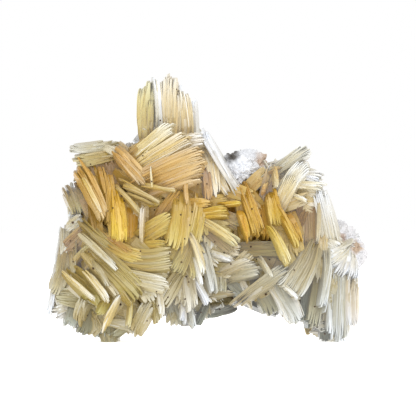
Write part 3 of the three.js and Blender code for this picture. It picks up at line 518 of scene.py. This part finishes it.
class ColourField:
    """The blended colours and depths of the sheaves round any place on the bladed face."""

    def __init__(self, rows):
        self.places = np.array([(row[1], row[2]) for row in rows], float)
        self.areas = np.array([row[6] * row[7] for row in rows], float)
        self.colours = np.array([tone_colours(row[12]) for row in rows])
        self.depths = np.array([row[3] for row in rows])

    def shares(self, x, z, blur):
        gaps = np.hypot(self.places[:, 0] - x, self.places[:, 1] - z)
        shares = self.areas * np.exp(-0.5 * (gaps / blur) ** 2) + 1e-9
        return shares / shares.sum()

    def at(self, x, z):
        """Tip and root colour round a place."""
        return np.tensordot(self.shares(x, z, BLUR), self.colours, axes=1)

    def depth(self, x, z):
        """Where the sheaves' rims stand round a place, as a y."""
        return float(self.shares(x, z, DEPTH_BLUR) @ self.depths)


def in_frame(places):
    """The frame's places, in metres, of places in millimetres, with none below the floor."""
    points = (np.array(places) + ORIGIN_SHIFT) * MM
    points[:, 2] = np.maximum(points[:, 2], 0.0)
    return points


def write_tint(mesh, colours):
    rgba = np.ones((len(mesh.vertices), 4), np.float32)
    rgba[:, :3] = colours
    mesh.color_attributes.new("tint", "FLOAT_COLOR", "POINT").data.foreach_set("color", rgba.ravel())


def new_piece(name, mesh):
    piece = bpy.data.objects.new(name, mesh)
    bpy.context.scene.collection.objects.link(piece)
    return piece


class Heap:
    """Quads gathered for one mesh, with a colour and a grain coordinate at each vertex."""

    def __init__(self):
        self.points = []
        self.quads = []
        self.tints = []
        self.grains = []
        self.total = 0

    def add(self, points, quads, tints, grains):
        self.points.append(points.reshape(-1, 3))
        self.quads.append(quads + self.total)
        self.tints.append(tints.reshape(-1, 3))
        self.grains.append(grains.reshape(-1, 2))
        self.total += len(self.points[-1])

    def build(self, name):
        points = in_frame(np.concatenate(self.points))
        quads = np.concatenate(self.quads).astype(np.int32)
        mesh = bpy.data.meshes.new(name)
        mesh.from_pydata(points.tolist(), [], quads.tolist())
        write_tint(mesh, np.concatenate(self.tints))
        grain = mesh.uv_layers.new(name="grain")
        grain.data.foreach_set("uv", np.concatenate(self.grains)[quads.ravel()].astype(np.float32).ravel())
        return new_piece(name, mesh)


def blade_axes(heading, lean, roll):
    """Along the blade, across to its front rim, through its faces, to the side, to the front."""
    h, l, r = np.radians((heading, lean, roll))
    along = np.array((math.cos(l) * math.cos(h), -math.sin(l), math.cos(l) * math.sin(h)))
    side = np.array((-math.sin(h), 0.0, math.cos(h)))
    front = np.cross(along, side)
    across = front * math.cos(r) + side * math.sin(r)
    stack = side * math.cos(r) - front * math.sin(r)
    return along, across, stack, side, front


def ring_quads(rings):
    """Quads of a closed tube of rings, capped at both ends."""
    ring, corner = np.meshgrid(np.arange(rings - 1), np.arange(RING), indexing="ij")
    a = ring * RING + corner
    b = ring * RING + (corner + 1) % RING
    tube = np.stack((a, a + RING, b + RING, b), axis=-1).reshape(-1, 4)
    first_cap = np.array(((0, 1, 4, 5), (1, 2, 3, 4)))
    last_cap = (rings - 1) * RING + np.array(((5, 4, 1, 0), (4, 3, 2, 1)))
    return np.concatenate((tube, first_cap, last_cap))


def stations(count):
    """Where a plate's rings stand along it, from -0.5 to 0.5, and the quads between them."""
    return 0.5 * np.sin(np.linspace(-math.pi / 2, math.pi / 2, count)), ring_quads(count)


FINE = stations(STATIONS)
COARSE = stations(COARSE_STATIONS)

# Round a ring, from one corner of the rim over the back edge to the other: half the plate's thickness,
# how pale upright and leafy plates are, a painted highlight on the rim and painted shade towards the back
# edge, and where a leafy plate's rim is. The leafy paleness also spreads the frost and painted glint of both.
RING_HALF = np.array((RIM_FLAT, 1.0, BACK_FLAT, -BACK_FLAT, -1.0, -RIM_FLAT)) / 2
UPRIGHT_RIM_HIGHLIGHT = np.array((1.0, 0.85, 0.5, 0.5, 0.85, 1.0))
LEAF_RIM_HIGHLIGHT = np.array((1.0, 0.7, 0.35, 0.35, 0.7, 1.0))
RIM_CORNERS = np.array((1.0, 0.0, 0.0, 0.0, 0.0, 1.0))


def end_cuts(rng, step, ahead, behind, leafy):
    """How much narrower a plate is towards its tip and its root end, as a share of its width."""
    if leafy:
        start = rng.uniform(*LEAF_TIP_START)
        slant = np.clip((2 * step - start) / (1 - start), 0, 1) ** LEAF_TIP_LATENESS
        return rng.uniform(*LEAF_TIP_CUT) * slant + rng.uniform(*LEAF_ROOT_CUT) * behind**LEAF_ROOT_LATENESS
    tip_cut = rng.uniform(*TIP_CUT) * ahead ** rng.uniform(*TIP_LATENESS)
    return tip_cut + rng.uniform(*ROOT_CUT) * behind ** rng.uniform(*ROOT_LATENESS)


def plate_tints(step, ahead, colours, leafy):
    """A plate's colours: pale towards the tip, a painted highlight on the rim, painted shade behind, frost
    and painted glints at the tip.
    """
    tip, root, frost_glint = colours
    colourless = min(1.0, FROST_GLINT_GREY + tip.min() / tip.max())
    frost_glint_share = colourless * min(1.0, tip.mean() / FROST_GLINT_PALE) ** FROST_GLINT_DARK
    frost_glint = frost_glint * frost_glint_share
    rise = PALE_START + (1 - PALE_START) * np.clip(step + 0.5, 0, 1)[:, None] ** PALE_RISE
    pale = (LEAF_RIM_HIGHLIGHT if leafy else UPRIGHT_RIM_HIGHLIGHT) * rise
    tint = root + (tip - root) * pale[:, :, None]
    # Frost and painted glint: whitening towards the tip and along the plate, and painted glint on leafy rims.
    at_tip = (FROST_GLINT_AT_TIPS * frost_glint_share + frost_glint * FROST_GLINT_TIP) * ahead[:, None] ** FROST_GLINT_LATENESS
    frost_and_glint = LEAF_RIM_HIGHLIGHT * (frost_glint * FROST_GLINT_ALL + at_tip)
    if leafy:
        frost_and_glint = np.maximum(frost_and_glint, RIM_GLINT * frost_glint_share * RIM_CORNERS)
    return tint + (FROST_GLINT_PALENESS * srgb(FROST_GLINT) - tint) * frost_and_glint[:, :, None]


def blade(heap, rng, middle, axes, size, colours, bend=0.0, drift=0.0, leafy=False, made=COARSE):
    """One thin plate with a narrow front rim, two flat faces and a tip that thins to an edge.

    size is how long, wide and thick it is. bend curves it, drift is how far its tip closes up on its
    crystal's middle, and a leafy plate is cut slantwise to a point.
    """
    along, across, stack = axes[:3]
    long, wide, thick = size
    step, quads = made
    ahead = np.clip(2 * step, 0, 1)
    behind = np.clip(-2 * step - ROOT_END, 0, 1 - ROOT_END) / (1 - ROOT_END)
    cut = end_cuts(rng, step, ahead, behind, leafy)
    rim = -wide * cut + (LEAF_RIM_NOISE if leafy else RIM_NOISE) * rng.standard_normal(len(step))
    body = thick * (1 - TIP_THINNING * ahead**3 - ROOT_THINNING * behind**6)
    body = body * (1 + THICKNESS_NOISE * rng.standard_normal(len(step)))
    back = np.minimum(-wide * (1 - BACK_CUT * np.abs(2 * step) ** BACK_LATENESS), rim - LEAST_DEEP)
    bevel = np.maximum(rim - BEVEL, back + LEAST_BEHIND)
    sway = bend * long * (step**2 - BOW_MIDDLE) - drift * ahead**3
    us = np.stack((rim, bevel, back, back, bevel, rim), axis=1)
    ss = body[:, None] * RING_HALF + sway[:, None]
    points = middle + (step * long)[:, None, None] * along + us[:, :, None] * across + ss[:, :, None] * stack
    seed = rng.uniform(0, 50, 2)
    grain = np.stack(np.broadcast_arrays((step * long)[:, None] + seed[0], us + ss + seed[1]), axis=-1)
    heap.add(points, quads, plate_tints(step, ahead, colours, leafy), grain)


def varied(rng, colours, spread=CRYSTAL_SPREAD, depth=PLATE_DEPTH):
    """A blade's own shade of its colours: some stay deep to the tip, some take frost and painted glint."""
    value = 1 + spread * rng.standard_normal()
    warmth = 1 + WARM_SPREAD * rng.standard_normal() * WARMTH
    frost_glint = OWN_FROST_GLINT * rng.random() ** 4
    tip, root = np.clip(np.asarray(colours) * value * warmth, 0, 1)
    return tip + (root - tip) * depth * rng.random() ** 2, root, frost_glint


def inside_outline(x, z):
    """Whether a place on the bladed face lies on the root."""
    inside = False
    for (x0, z0), (x1, z1) in zip(ROOT_OUTLINE, ROOT_OUTLINE[1:] + ROOT_OUTLINE[:1]):
        if (z0 > z) != (z1 > z) and x < x0 + (z - z0) * (x1 - x0) / (z1 - z0):
            inside = not inside
    return inside


def buried(middle, along, long, share):
    """How far a blade goes on past its visible root end: nothing where it would leave the root."""
    more = long * share
    end = middle - along * (long / 2 + more)
    return more if inside_outline(end[0], end[2]) else 0.0


def own_colours(tone, field, x, z, share):
    """A sheaf's colours: its own tone's share, and the rest from what surrounds it."""
    return np.array(tone_colours(tone)) * share + field.at(x, z) * (1 - share)


def sheaf(heap, rng, row, field, own_share=OWN_SHARE, made=FINE):
    """A row of crystals side by side, each of a few thin plates."""
    name, x, z, y, heading, lean, long, wide, fan, deep, roll, count, tone = row
    colours = own_colours(tone, field, x, z, own_share)
    lean += LEANING
    side, front = blade_axes(heading, lean, roll)[3:]
    base = np.array((x, y, z), float)
    bend = BENDS.get(name, 0.0) * BOW + rng.normal(0, BOW_NOISE)
    leafy = abs(roll) > ROLLED
    if leafy:
        count = max(count, round(wide / LEAF_PITCH))
    facing = math.cos(math.radians(roll))
    face = LEAF_FLANK if leafy else FLANK * min(1.0, NARROW_FLANK + wide / FULL_FLANK)
    flank = max(LEAST_WIDTH, face / max(0.01, abs(math.sin(math.radians(roll)))))
    hidden = 0.0 if name in SHORT_ROOTS else BURIED_LEAF if leafy else BURIED

    def add(t, offset, turn, tilt, own_roll, length, thick, behind, slip, shades):
        axes = blade_axes(turn, tilt, own_roll)
        along = slip + rng.normal(0, PLATE_SLIP)
        middle = base + side * (wide * t + offset) + axes[0] * along - front * behind
        width = min(deep if leafy else max(deep, SEATED - middle[1]), flank)
        if abs(t) > OUTER_SHARE:
            width = min(width, rng.uniform(*OUTER_WIDTH))
        more = buried(middle, axes[0], length, hidden)
        place = middle - axes[0] * more / 2
        size = (length + more, width, thick)
        tones = varied(rng, shades, PLATE_SPREAD)
        blade(heap, rng, place, axes, size, tones, bend, offset * GATHER, leafy, made)

    shares = np.exp(0.0 if leafy else UNEVEN * rng.standard_normal(count)) * np.ones(count)
    shares /= shares.sum()
    for share, middle in zip(shares, np.cumsum(shares) - shares / 2 - 0.5):
        t = middle + rng.uniform(-STRAY, STRAY) / count
        pitch = wide * share
        plates = 2 if leafy else max(2, round(pitch / LAMINA))
        spacing = pitch / plates * OVERLAP
        thick = min(spacing, max(LEAST_THICK, pitch * facing / plates * OVERLAP))
        reach = long * (1 - CROWN * (2 * t) ** 2) * rng.uniform(*LONG)
        turn = heading + fan * t + rng.normal(0, TURN)
        tilt = lean + rng.normal(0, TILT)
        own_roll = roll + rng.normal(0, ROLL)
        behind = rng.normal(0, BEHIND)
        slip = rng.normal(0, SLIP if wide > NARROW else NARROW_SLIP) * long
        shades = varied(rng, colours, CRYSTAL_SPREAD, CRYSTAL_DEPTH)[:2]
        for k in range(plates):
            offset = ((k + 0.5) / plates - 0.5) * pitch
            length = reach * rng.uniform(*PLATE_LONG) * (1 - POINTED * abs(2 * offset / pitch) ** POINTEDNESS)
            size = thick * rng.uniform(*PLATE_THICK)
            twist = turn + rng.normal(0, PLATE_TURN)
            back = rng.normal(behind, PLATE_BEHIND)
            add(t, offset, twist, tilt, own_roll, length, size, back, slip - (reach - length) / 2, shades)
        if not leafy:
            # One whole crystal behind the plates, so that no gap shows between them.
            turn = heading + fan * middle
            length = long * (1 - CROWN * (2 * middle) ** 2) * rng.uniform(*FILL_LONG)
            add(middle, 0.0, turn, lean, roll, length, pitch * FILL_THICK, FILL_DEPTH, 0.0, colours)


def over_front_lump(x, z):
    """Whether a place on the face is where the white lump comes to the front."""
    x0, _, z0, rx, _, rz = LUMPS[-1]
    return ((x - x0) / rx) ** 2 + ((z - z0) / rz) ** 2 < LUMP_CLEARING


def undergrowth(heap, rng, rows, field, start, stop):
    """Short blades deep between the sheaves, laid much like the nearest sheaf."""
    places = np.array([(row[1], row[2]) for row in rows])
    for x in np.arange(start, stop, UNDER_PITCH):
        for z in np.arange(1, UNDER_TOP, UNDER_PITCH):
            x1, z1 = x + rng.uniform(0, UNDER_PITCH), z + rng.uniform(0, UNDER_PITCH)
            if not inside_outline(x1, z1) or over_front_lump(x1, z1):
                continue
            near = rows[np.hypot(places[:, 0] - x1, places[:, 1] - z1).argmin()]
            y = max(near[3], field.depth(x1, z1)) + rng.uniform(*SUNK)
            heading = near[4] + rng.normal(0, UNDER_TURN)
            long, wide = rng.uniform(*UNDER_LONG), rng.uniform(*UNDER_WIDE)
            roll, count = rng.normal(0, UNDER_ROLL), int(rng.integers(*UNDER_COUNT))
            row = ("under", x1, z1, min(y, UNDER_FRONT), heading, 0, long, wide,
                   UNDER_FAN, UNDER_DEEP, roll, count, near[12])
            sheaf(heap, rng, row, field, UNDER_OWN_SHARE, COARSE)


def side_blades(heap, rng, field):
    """Blades round the root's edge, their tips pointing out."""
    for (x0, z0), (x1, z1) in zip(ROOT_OUTLINE, ROOT_OUTLINE[1:] + ROOT_OUTLINE[:1]):
        if max(z0, z1) < FOOT_HEIGHT:
            continue
        run = math.hypot(x1 - x0, z1 - z0)
        outward = math.degrees(math.atan2(z1 - z0, x1 - x0)) + 90
        for y in SIDE_ROWS * max(1, round(run / SIDE_PITCH)):
            share = rng.uniform(*SIDE_ALONG)
            heading = outward + min(SIDE_TURN_LIMIT, max(-SIDE_TURN_LIMIT, rng.normal(0, SIDE_TURN)))
            along = blade_axes(heading, 0, 0)[0]
            long = rng.uniform(*SIDE_LONG)
            out = SIDE_REACH if y > FRONT_ROWS else FRONT_REACH
            tip_x = x0 + (x1 - x0) * share + out * math.cos(math.radians(outward))
            tip_z = z0 + (z1 - z0) * share + out * math.sin(math.radians(outward))
            tone = SIDE_TONES[rng.integers(len(SIDE_TONES))]
            middle = (tip_x - along[0] * long / 2, y + rng.normal(0, SIDE_Y), tip_z - along[2] * long / 2)
            side_sheaf(heap, rng, middle, heading, long, tone, field)


def side_sheaf(heap, rng, middle, heading, long, tone, field):
    """A sheaf whose blades keep their own width, wherever they lie."""
    x, y, z = middle
    lean, wide, fan = rng.normal(0, SIDE_LEAN), rng.uniform(*SIDE_WIDE), rng.normal(0, SIDE_FAN)
    deep, roll = rng.uniform(*SIDE_DEEP), rng.normal(0, SIDE_ROLL)
    least, most = SIDE_OWN_SHARE
    own = min(most, max(least, (y - SIDE_OWN_START) / SIDE_OWN_RUN))
    colours = own_colours(tone, field, x, z, own)
    side = blade_axes(heading, lean, roll)[3]
    for i in range(SIDE_COUNT):
        t = (i + 0.5) / SIDE_COUNT - 0.5
        turn = heading + fan * t + rng.normal(0, SIDE_BLADE_TURN)
        axes = blade_axes(turn, lean, roll + rng.normal(0, SIDE_BLADE_ROLL))
        place = np.array(middle) + side * (wide * t) + axes[0] * rng.normal(0, SIDE_BLADE_SLIP)
        thick = wide / SIDE_COUNT * rng.uniform(*SIDE_BLADE_THICK)
        reach = long * rng.uniform(*SIDE_BLADE_LONG)
        blade(heap, rng, place, axes, (reach, deep, thick), varied(rng, colours))


def back_blades(heap, rng):
    """Patches of broken blades on the back, their rims looking along +Y."""
    placed = 0
    while placed < BACK_SHEAVES:
        x, z = rng.uniform(*BACK_X), rng.uniform(*BACK_Z)
        if not inside_outline(x, z) or noise.noise(Vector((x, BACK_PATCH_AT, z)) * BACK_PATCH) < BACK_BARE:
            continue
        placed += 1
        swirl = noise.noise(Vector((x, BACK_SWIRL_AT, z)) * BACK_SWIRL)
        heading = swirl * BACK_SWEEP + rng.normal(0, BACK_TURN)
        side = blade_axes(heading, 0, 0)[3]
        colours = tone_colours(BACK_TONES[rng.integers(len(BACK_TONES))])
        pitch = rng.uniform(*BACK_PITCH)
        reach = rng.uniform(*BACK_LONG)
        for i in range(BACK_BLADES):
            place = i - (BACK_BLADES - 1) / 2
            turn = heading + place * BACK_FAN + rng.normal(0, BACK_BLADE_TURN)
            axes = blade_axes(turn, rng.normal(0, BACK_LEAN), 180 + rng.normal(0, BACK_ROLL))
            middle = np.array((x, BACK_RIM + rng.uniform(*BACK_UNEVEN), z)) + side * place * pitch
            size = (reach * rng.uniform(*BACK_BLADE_LONG), BACK_DEEP, pitch * BACK_THICK)
            blade(heap, rng, middle, axes, size, varied(rng, colours))


def root_mesh():
    """The massive root with its lumps, remeshed evenly."""
    shape = bmesh.new()
    front = [shape.verts.new((x, ROOT_FRONT, z)) for x, z in ROOT_OUTLINE]
    face = shape.faces.new(front)
    made = bmesh.ops.extrude_face_region(shape, geom=[face])
    moved = [v for v in made["geom"] if isinstance(v, bmesh.types.BMVert)]
    bmesh.ops.translate(shape, verts=moved, vec=(0, ROOT_BACK - ROOT_FRONT, 0))
    bmesh.ops.recalc_face_normals(shape, faces=shape.faces)
    for x, y, z, rx, ry, rz in LUMPS:
        made = bmesh.ops.create_icosphere(shape, subdivisions=4, radius=1.0)
        bmesh.ops.scale(shape, verts=made["verts"], vec=(rx, ry, rz))
        bmesh.ops.translate(shape, verts=made["verts"], vec=(x, y, z))
    mesh = bpy.data.meshes.new("root")
    shape.to_mesh(mesh)
    shape.free()
    piece = new_piece("root", mesh)
    remesh = piece.modifiers.new("even", "REMESH")
    remesh.mode = "VOXEL"
    remesh.voxel_size = ROOT_VOXEL
    smooth = piece.modifiers.new("soft", "SMOOTH")
    smooth.iterations = ROOT_SMOOTHING
    baked = bpy.data.meshes.new_from_object(piece.evaluated_get(bpy.context.evaluated_depsgraph_get()))
    piece.modifiers.clear()
    piece.data = baked
    bpy.data.meshes.remove(mesh)
    return piece


def on_white_lump(point):
    """Whether a place lies on one of the white lumps or just round it."""
    for index in WHITE_LUMPS:
        x, y, z, rx, ry, rz = LUMPS[index]
        if ((point.x - x) / rx) ** 2 + ((point.y - y) / ry) ** 2 + ((point.z - z) / rz) ** 2 < LUMP_SWELL**2:
            return True
    return False


def root_relief(point):
    """How far the root's surface stands out at a point: swells, roughness and ledges of old blades."""
    broad = noise.noise(point * BROAD_PITCH) * BROAD_HEIGHT
    rough = noise.fractal(point * ROUGH_PITCH, 0.8, 2.0, 4) * ROUGH_HEIGHT
    cells, centres = noise.voronoi(point * CELL_PITCH)
    angle = noise.cell(centres[0] * 7.3) * math.pi * 2
    lay = point.x * math.cos(angle) + point.z * math.sin(angle)
    ridges = abs((lay / RIDGE_STEP) % 1.0 - 0.5) * RIDGE_HEIGHT
    if on_white_lump(point):
        rough += noise.fractal(point * FIBRE_PITCH, 0.7, 2.0, 3) * FIBRE_HEIGHT
        ridges *= FIBRE_RIDGES
    return broad + rough + ridges * min(1.0, (cells[1] - cells[0]) * CELL_EDGE)


def root_colour(point, field, white, stain):
    """White and stained behind and on the white lumps, painted shade between the blades, pale at the feet."""
    rust = sum(max(0.0, noise.noise(point * pitch) * high - none) for pitch, high, none in STAIN_NOISES)
    fade_start, fade = FRONT_FADE
    back = min(1.0, max(0.0, (point.y - fade_start) / fade))
    if on_white_lump(point):
        back = 1.0
        rust = rust * LUMP_STAIN
    colour = white + (stain - white) * min(STAIN_LIMIT, rust)
    for x, z, radius, blot in BLOTS:
        ragged = noise.noise(point * BLOT_PITCH) * BLOT_NOISE
        share = 1 - math.hypot(point.x - x, point.z - z) / radius + ragged
        colour = colour + (PALENESS * srgb(blot) - colour) * min(1.0, max(0.0, share * BLOT_EDGE))
    low = min(1.0, max(0.0, (FOOT_COLOUR_TOP - point.z) / FOOT_FADE))
    # Painted shade between the blades: the sheaves' deep colour, darkened.
    shade = field.at(point.x, point.z)[1] * (GAP_PAINTED_SHADE - GAP_PAINTED_SHADE * low)
    deep = shade + white * FOOT_PALENESS * low
    return deep + (colour - deep) * back


def root_piece(field):
    """The sugary root with its relief and its colours."""
    piece = root_mesh()
    mesh = piece.data
    white, stain = WHITE_PALENESS * srgb(WHITE), PALENESS * srgb(STAIN)
    colours = [root_colour(v.co, field, white, stain) for v in mesh.vertices]
    grown = [v.co + v.normal * (root_relief(v.co) - ROOT_SINK) for v in mesh.vertices]
    write_tint(mesh, colours)
    mesh.uv_layers.new(name="grain")
    mesh.vertices.foreach_set("co", in_frame(grown).ravel())
    mesh.update()
    return piece


def new_material(name):
    """A material, with its nodes, its links and its shader."""
    material = bpy.data.materials.new(name)
    material.use_nodes = True
    tree = material.node_tree
    return material, tree.nodes, tree.links, tree.nodes["Principled BSDF"]


def set_inputs(node, **values):
    """Give a node's inputs their values. An underscore in a keyword stands for a space."""
    for socket, value in values.items():
        node.inputs[socket.replace("_", " ")].default_value = value
    return node


def patterned(nodes, links, shader, pattern, shade, rough, relief):
    """Let a pattern vary the mesh's own colour, the gloss and the height of a surface.

    shade and rough are what the pattern's low and high parts give, relief its strength and depth.
    """
    tint = nodes.new("ShaderNodeAttribute")
    tint.attribute_name = "tint"
    darken = set_inputs(nodes.new("ShaderNodeMapRange"), From_Min=0.3, From_Max=0.7)
    set_inputs(darken, To_Min=shade[0], To_Max=shade[1])
    colour = nodes.new("ShaderNodeVectorMath")
    colour.operation = "SCALE"
    gloss = set_inputs(nodes.new("ShaderNodeMapRange"), To_Min=rough[0], To_Max=rough[1])
    bump = set_inputs(nodes.new("ShaderNodeBump"), Strength=relief[0], Distance=relief[1])
    for node, socket in ((darken, "Value"), (gloss, "Value"), (bump, "Height")):
        links.new(pattern.outputs["Fac"], node.inputs[socket])
    links.new(tint.outputs["Color"], colour.inputs[0])
    links.new(darken.outputs["Result"], colour.inputs["Scale"])
    links.new(colour.outputs["Vector"], shader.inputs["Base Color"])
    links.new(gloss.outputs["Result"], shader.inputs["Roughness"])
    links.new(bump.outputs["Normal"], shader.inputs["Normal"])


def barite_material(name, painted_glow, sheen):
    """Blade colour from the mesh, with fine streaks along the grain, some gloss and a soft painted glow in
    place of light scattered through the crystals.
    """
    material, nodes, links, shader = new_material(name)
    set_inputs(shader, IOR=1.6, Specular_IOR_Level=0.5, Specular_Tint=(*sheen, 1))
    # Painted glow: a constant emission standing in for light scattered through the crystals.
    set_inputs(shader, Emission_Color=(*painted_glow, 1), Emission_Strength=PAINTED_GLOW)
    grain = nodes.new("ShaderNodeUVMap")
    grain.uv_map = "grain"
    stretch = set_inputs(nodes.new("ShaderNodeMapping"), Scale=(0.2, 2.6, 1.0))
    streaks = set_inputs(nodes.new("ShaderNodeTexNoise"), Scale=1.0, Detail=4.0)
    links.new(grain.outputs["UV"], stretch.inputs["Vector"])
    links.new(stretch.outputs["Vector"], streaks.inputs["Vector"])
    patterned(nodes, links, shader, streaks, shade=(0.9, 1.06), rough=(0.16, 0.46), relief=(0.2, 0.0002))
    return material


def root_material():
    """Massive barite: sugary, with the colour from the mesh and a fine mottle."""
    material, nodes, links, shader = new_material("massive_barite")
    set_inputs(shader, Specular_IOR_Level=0.35)
    mottle = set_inputs(nodes.new("ShaderNodeTexNoise"), Scale=900.0, Detail=6.0)
    links.new(nodes.new("ShaderNodeTexCoord").outputs["Object"], mottle.inputs["Vector"])
    patterned(nodes, links, shader, mottle, shade=(0.84, 1.06), rough=(0.45, 0.75), relief=(0.5, 0.0003))
    return material


def rust_material():
    """Iron oxide: dull, dark and mottled."""
    material, nodes, links, shader = new_material("iron_oxide")
    set_inputs(shader, Roughness=0.6)
    mottle = set_inputs(nodes.new("ShaderNodeTexNoise"), Scale=2500.0)
    ramp = nodes.new("ShaderNodeValToRGB")
    ramp.color_ramp.elements[0].color = (*srgb(RUST_DARK), 1)
    ramp.color_ramp.elements[1].color = (*srgb(RUST_PALE), 1)
    links.new(nodes.new("ShaderNodeTexCoord").outputs["Object"], mottle.inputs["Vector"])
    links.new(mottle.outputs["Fac"], ramp.inputs["Fac"])
    links.new(ramp.outputs["Color"], shader.inputs["Base Color"])
    return material


def specks(rng, surfaces):
    """Rust grains half sunk in whatever surface the front view meets first."""
    grains = bmesh.new()
    trees = [BVHTree.FromObject(piece, bpy.context.evaluated_depsgraph_get()) for piece in surfaces]
    for x, z, size in SPECKS:
        start = Vector(((x + ORIGIN_SHIFT[0]) * MM, RAY_START, (z + ORIGIN_SHIFT[2]) * MM))
        hits = [tree.ray_cast(start, Vector((0, 1, 0)))[0] for tree in trees]
        hits = [hit for hit in hits if hit is not None]
        if not hits:
            continue
        spot = min(hits, key=lambda hit: hit.y)
        made = bmesh.ops.create_icosphere(grains, subdivisions=1, radius=size * MM / 2)
        for v in made["verts"]:
            v.co = v.co * rng.uniform(*SPECK_UNEVEN) + spot
    mesh = bpy.data.meshes.new("iron_specks")
    grains.to_mesh(mesh)
    grains.free()
    return new_piece("iron_specks", mesh)


def camera():
    """A level camera in front of the specimen."""
    data = bpy.data.cameras.new("camera")
    data.sensor_width = SENSOR
    data.lens = data.sensor_width * CAMERA_DISTANCE / FRAME_WIDTH
    data.clip_end = 10
    eye = new_piece("camera", data)
    x, z = CAMERA_POINT
    eye.location = (np.array((x, FOCUS_PLANE - CAMERA_DISTANCE, z)) + ORIGIN_SHIFT) * MM
    eye.rotation_euler = (math.pi / 2, 0, 0)
    bpy.context.scene.camera = eye


def area_light(name, place, size, power, colour):
    """A square light aimed at the specimen. Its place and size are metres."""
    data = bpy.data.lights.new(name, "AREA")
    data.size = size
    data.energy = power
    data.color = colour
    lamp = new_piece(name, data)
    lamp.location = place
    aim = Vector((0, 0, 0.04)) - Vector(place)
    lamp.rotation_euler = aim.to_track_quat("-Z", "Y").to_euler()


def surroundings():
    """A pale floor, a pale sky, a soft key from the upper right and a cool fill from the left."""
    world = bpy.data.worlds.new("studio")
    world.use_nodes = True
    set_inputs(world.node_tree.nodes["Background"], Color=(1.0, 1.0, 1.0, 1), Strength=1.0)
    bpy.context.scene.world = world
    area_light("key", place=(0.22, -0.42, 0.5), size=0.5, power=2.0, colour=(1.0, 0.98, 0.95))
    area_light("fill", place=(-0.5, -0.3, 0.15), size=0.4, power=0.5, colour=(0.85, 0.92, 1.0))
    bpy.ops.mesh.primitive_circle_add(vertices=64, radius=3.0, fill_type="NGON")
    floor = bpy.context.object
    floor.name = "floor"
    paper, _, _, shader = new_material("paper")
    set_inputs(shader, Base_Color=(0.95, 0.95, 0.95, 1), Roughness=0.9)
    set_inputs(shader, Emission_Color=(1.0, 1.0, 1.0, 1), Emission_Strength=0.7)
    floor.data.materials.append(paper)


def dress(piece, material):
    """Give a piece its material, let it ride its body and show in place of the solid."""
    piece.data.materials.clear()
    piece.data.materials.append(material)
    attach(piece, "root")
    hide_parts(NODE)


def sheaves(heap, rng, rows, field):
    """The sheaves of one group."""
    for row in rows:
        sheaf(heap, rng, row, field)


def bladed_piece(name, seed, fill, *what):
    """A mesh piece of the blades that a function puts in its heap."""
    heap = Heap()
    fill(heap, np.random.default_rng(seed), *what)
    return heap.build(name)


def crystals(field, rows):
    """Every piece that is made of blades."""
    pieces = []
    for index, (group, members) in enumerate(SHEAVES.items()):
        pieces.append(bladed_piece("blades_" + group, GROUP_SEED + index, sheaves, members, field))
    for side, start, stop in UNDER_RANGES:
        seed = UNDER_SEED + start
        pieces.append(bladed_piece("undergrowth_" + side, seed, undergrowth, rows, field, start, stop))
    pieces.append(bladed_piece("blades_round_the_sides", SIDE_SEED, side_blades, field))
    pieces.append(bladed_piece("blades_on_the_back", BACK_SEED, back_blades))
    return pieces


def main():
    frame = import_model()
    every_row = [row for rows in SHEAVES.values() for row in rows]
    field = ColourField(every_row)
    deep = barite_material("amber_barite", DEEP_PAINTED_GLOW, DEEP_SHEEN)
    warm = barite_material("yellow_barite", WARM_PAINTED_GLOW, WARM_SHEEN)
    cool = barite_material("white_barite", COOL_PAINTED_GLOW, COOL_SHEEN)
    surfaces = crystals(field, every_row)
    for piece in surfaces:
        group = piece.name.removeprefix("blades_")
        dress(piece, cool if group in WHITE_GROUPS else deep if group in DEEP_GROUPS else warm)
    root = root_piece(field)
    dress(root, root_material())
    grains = specks(np.random.default_rng(SPECK_SEED), surfaces + [root])
    grains.data.materials.append(rust_material())
    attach(grains, "root")
    camera()
    surroundings()
    bpy.context.scene.view_settings.view_transform = "Standard"
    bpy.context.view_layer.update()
    return frame


main()
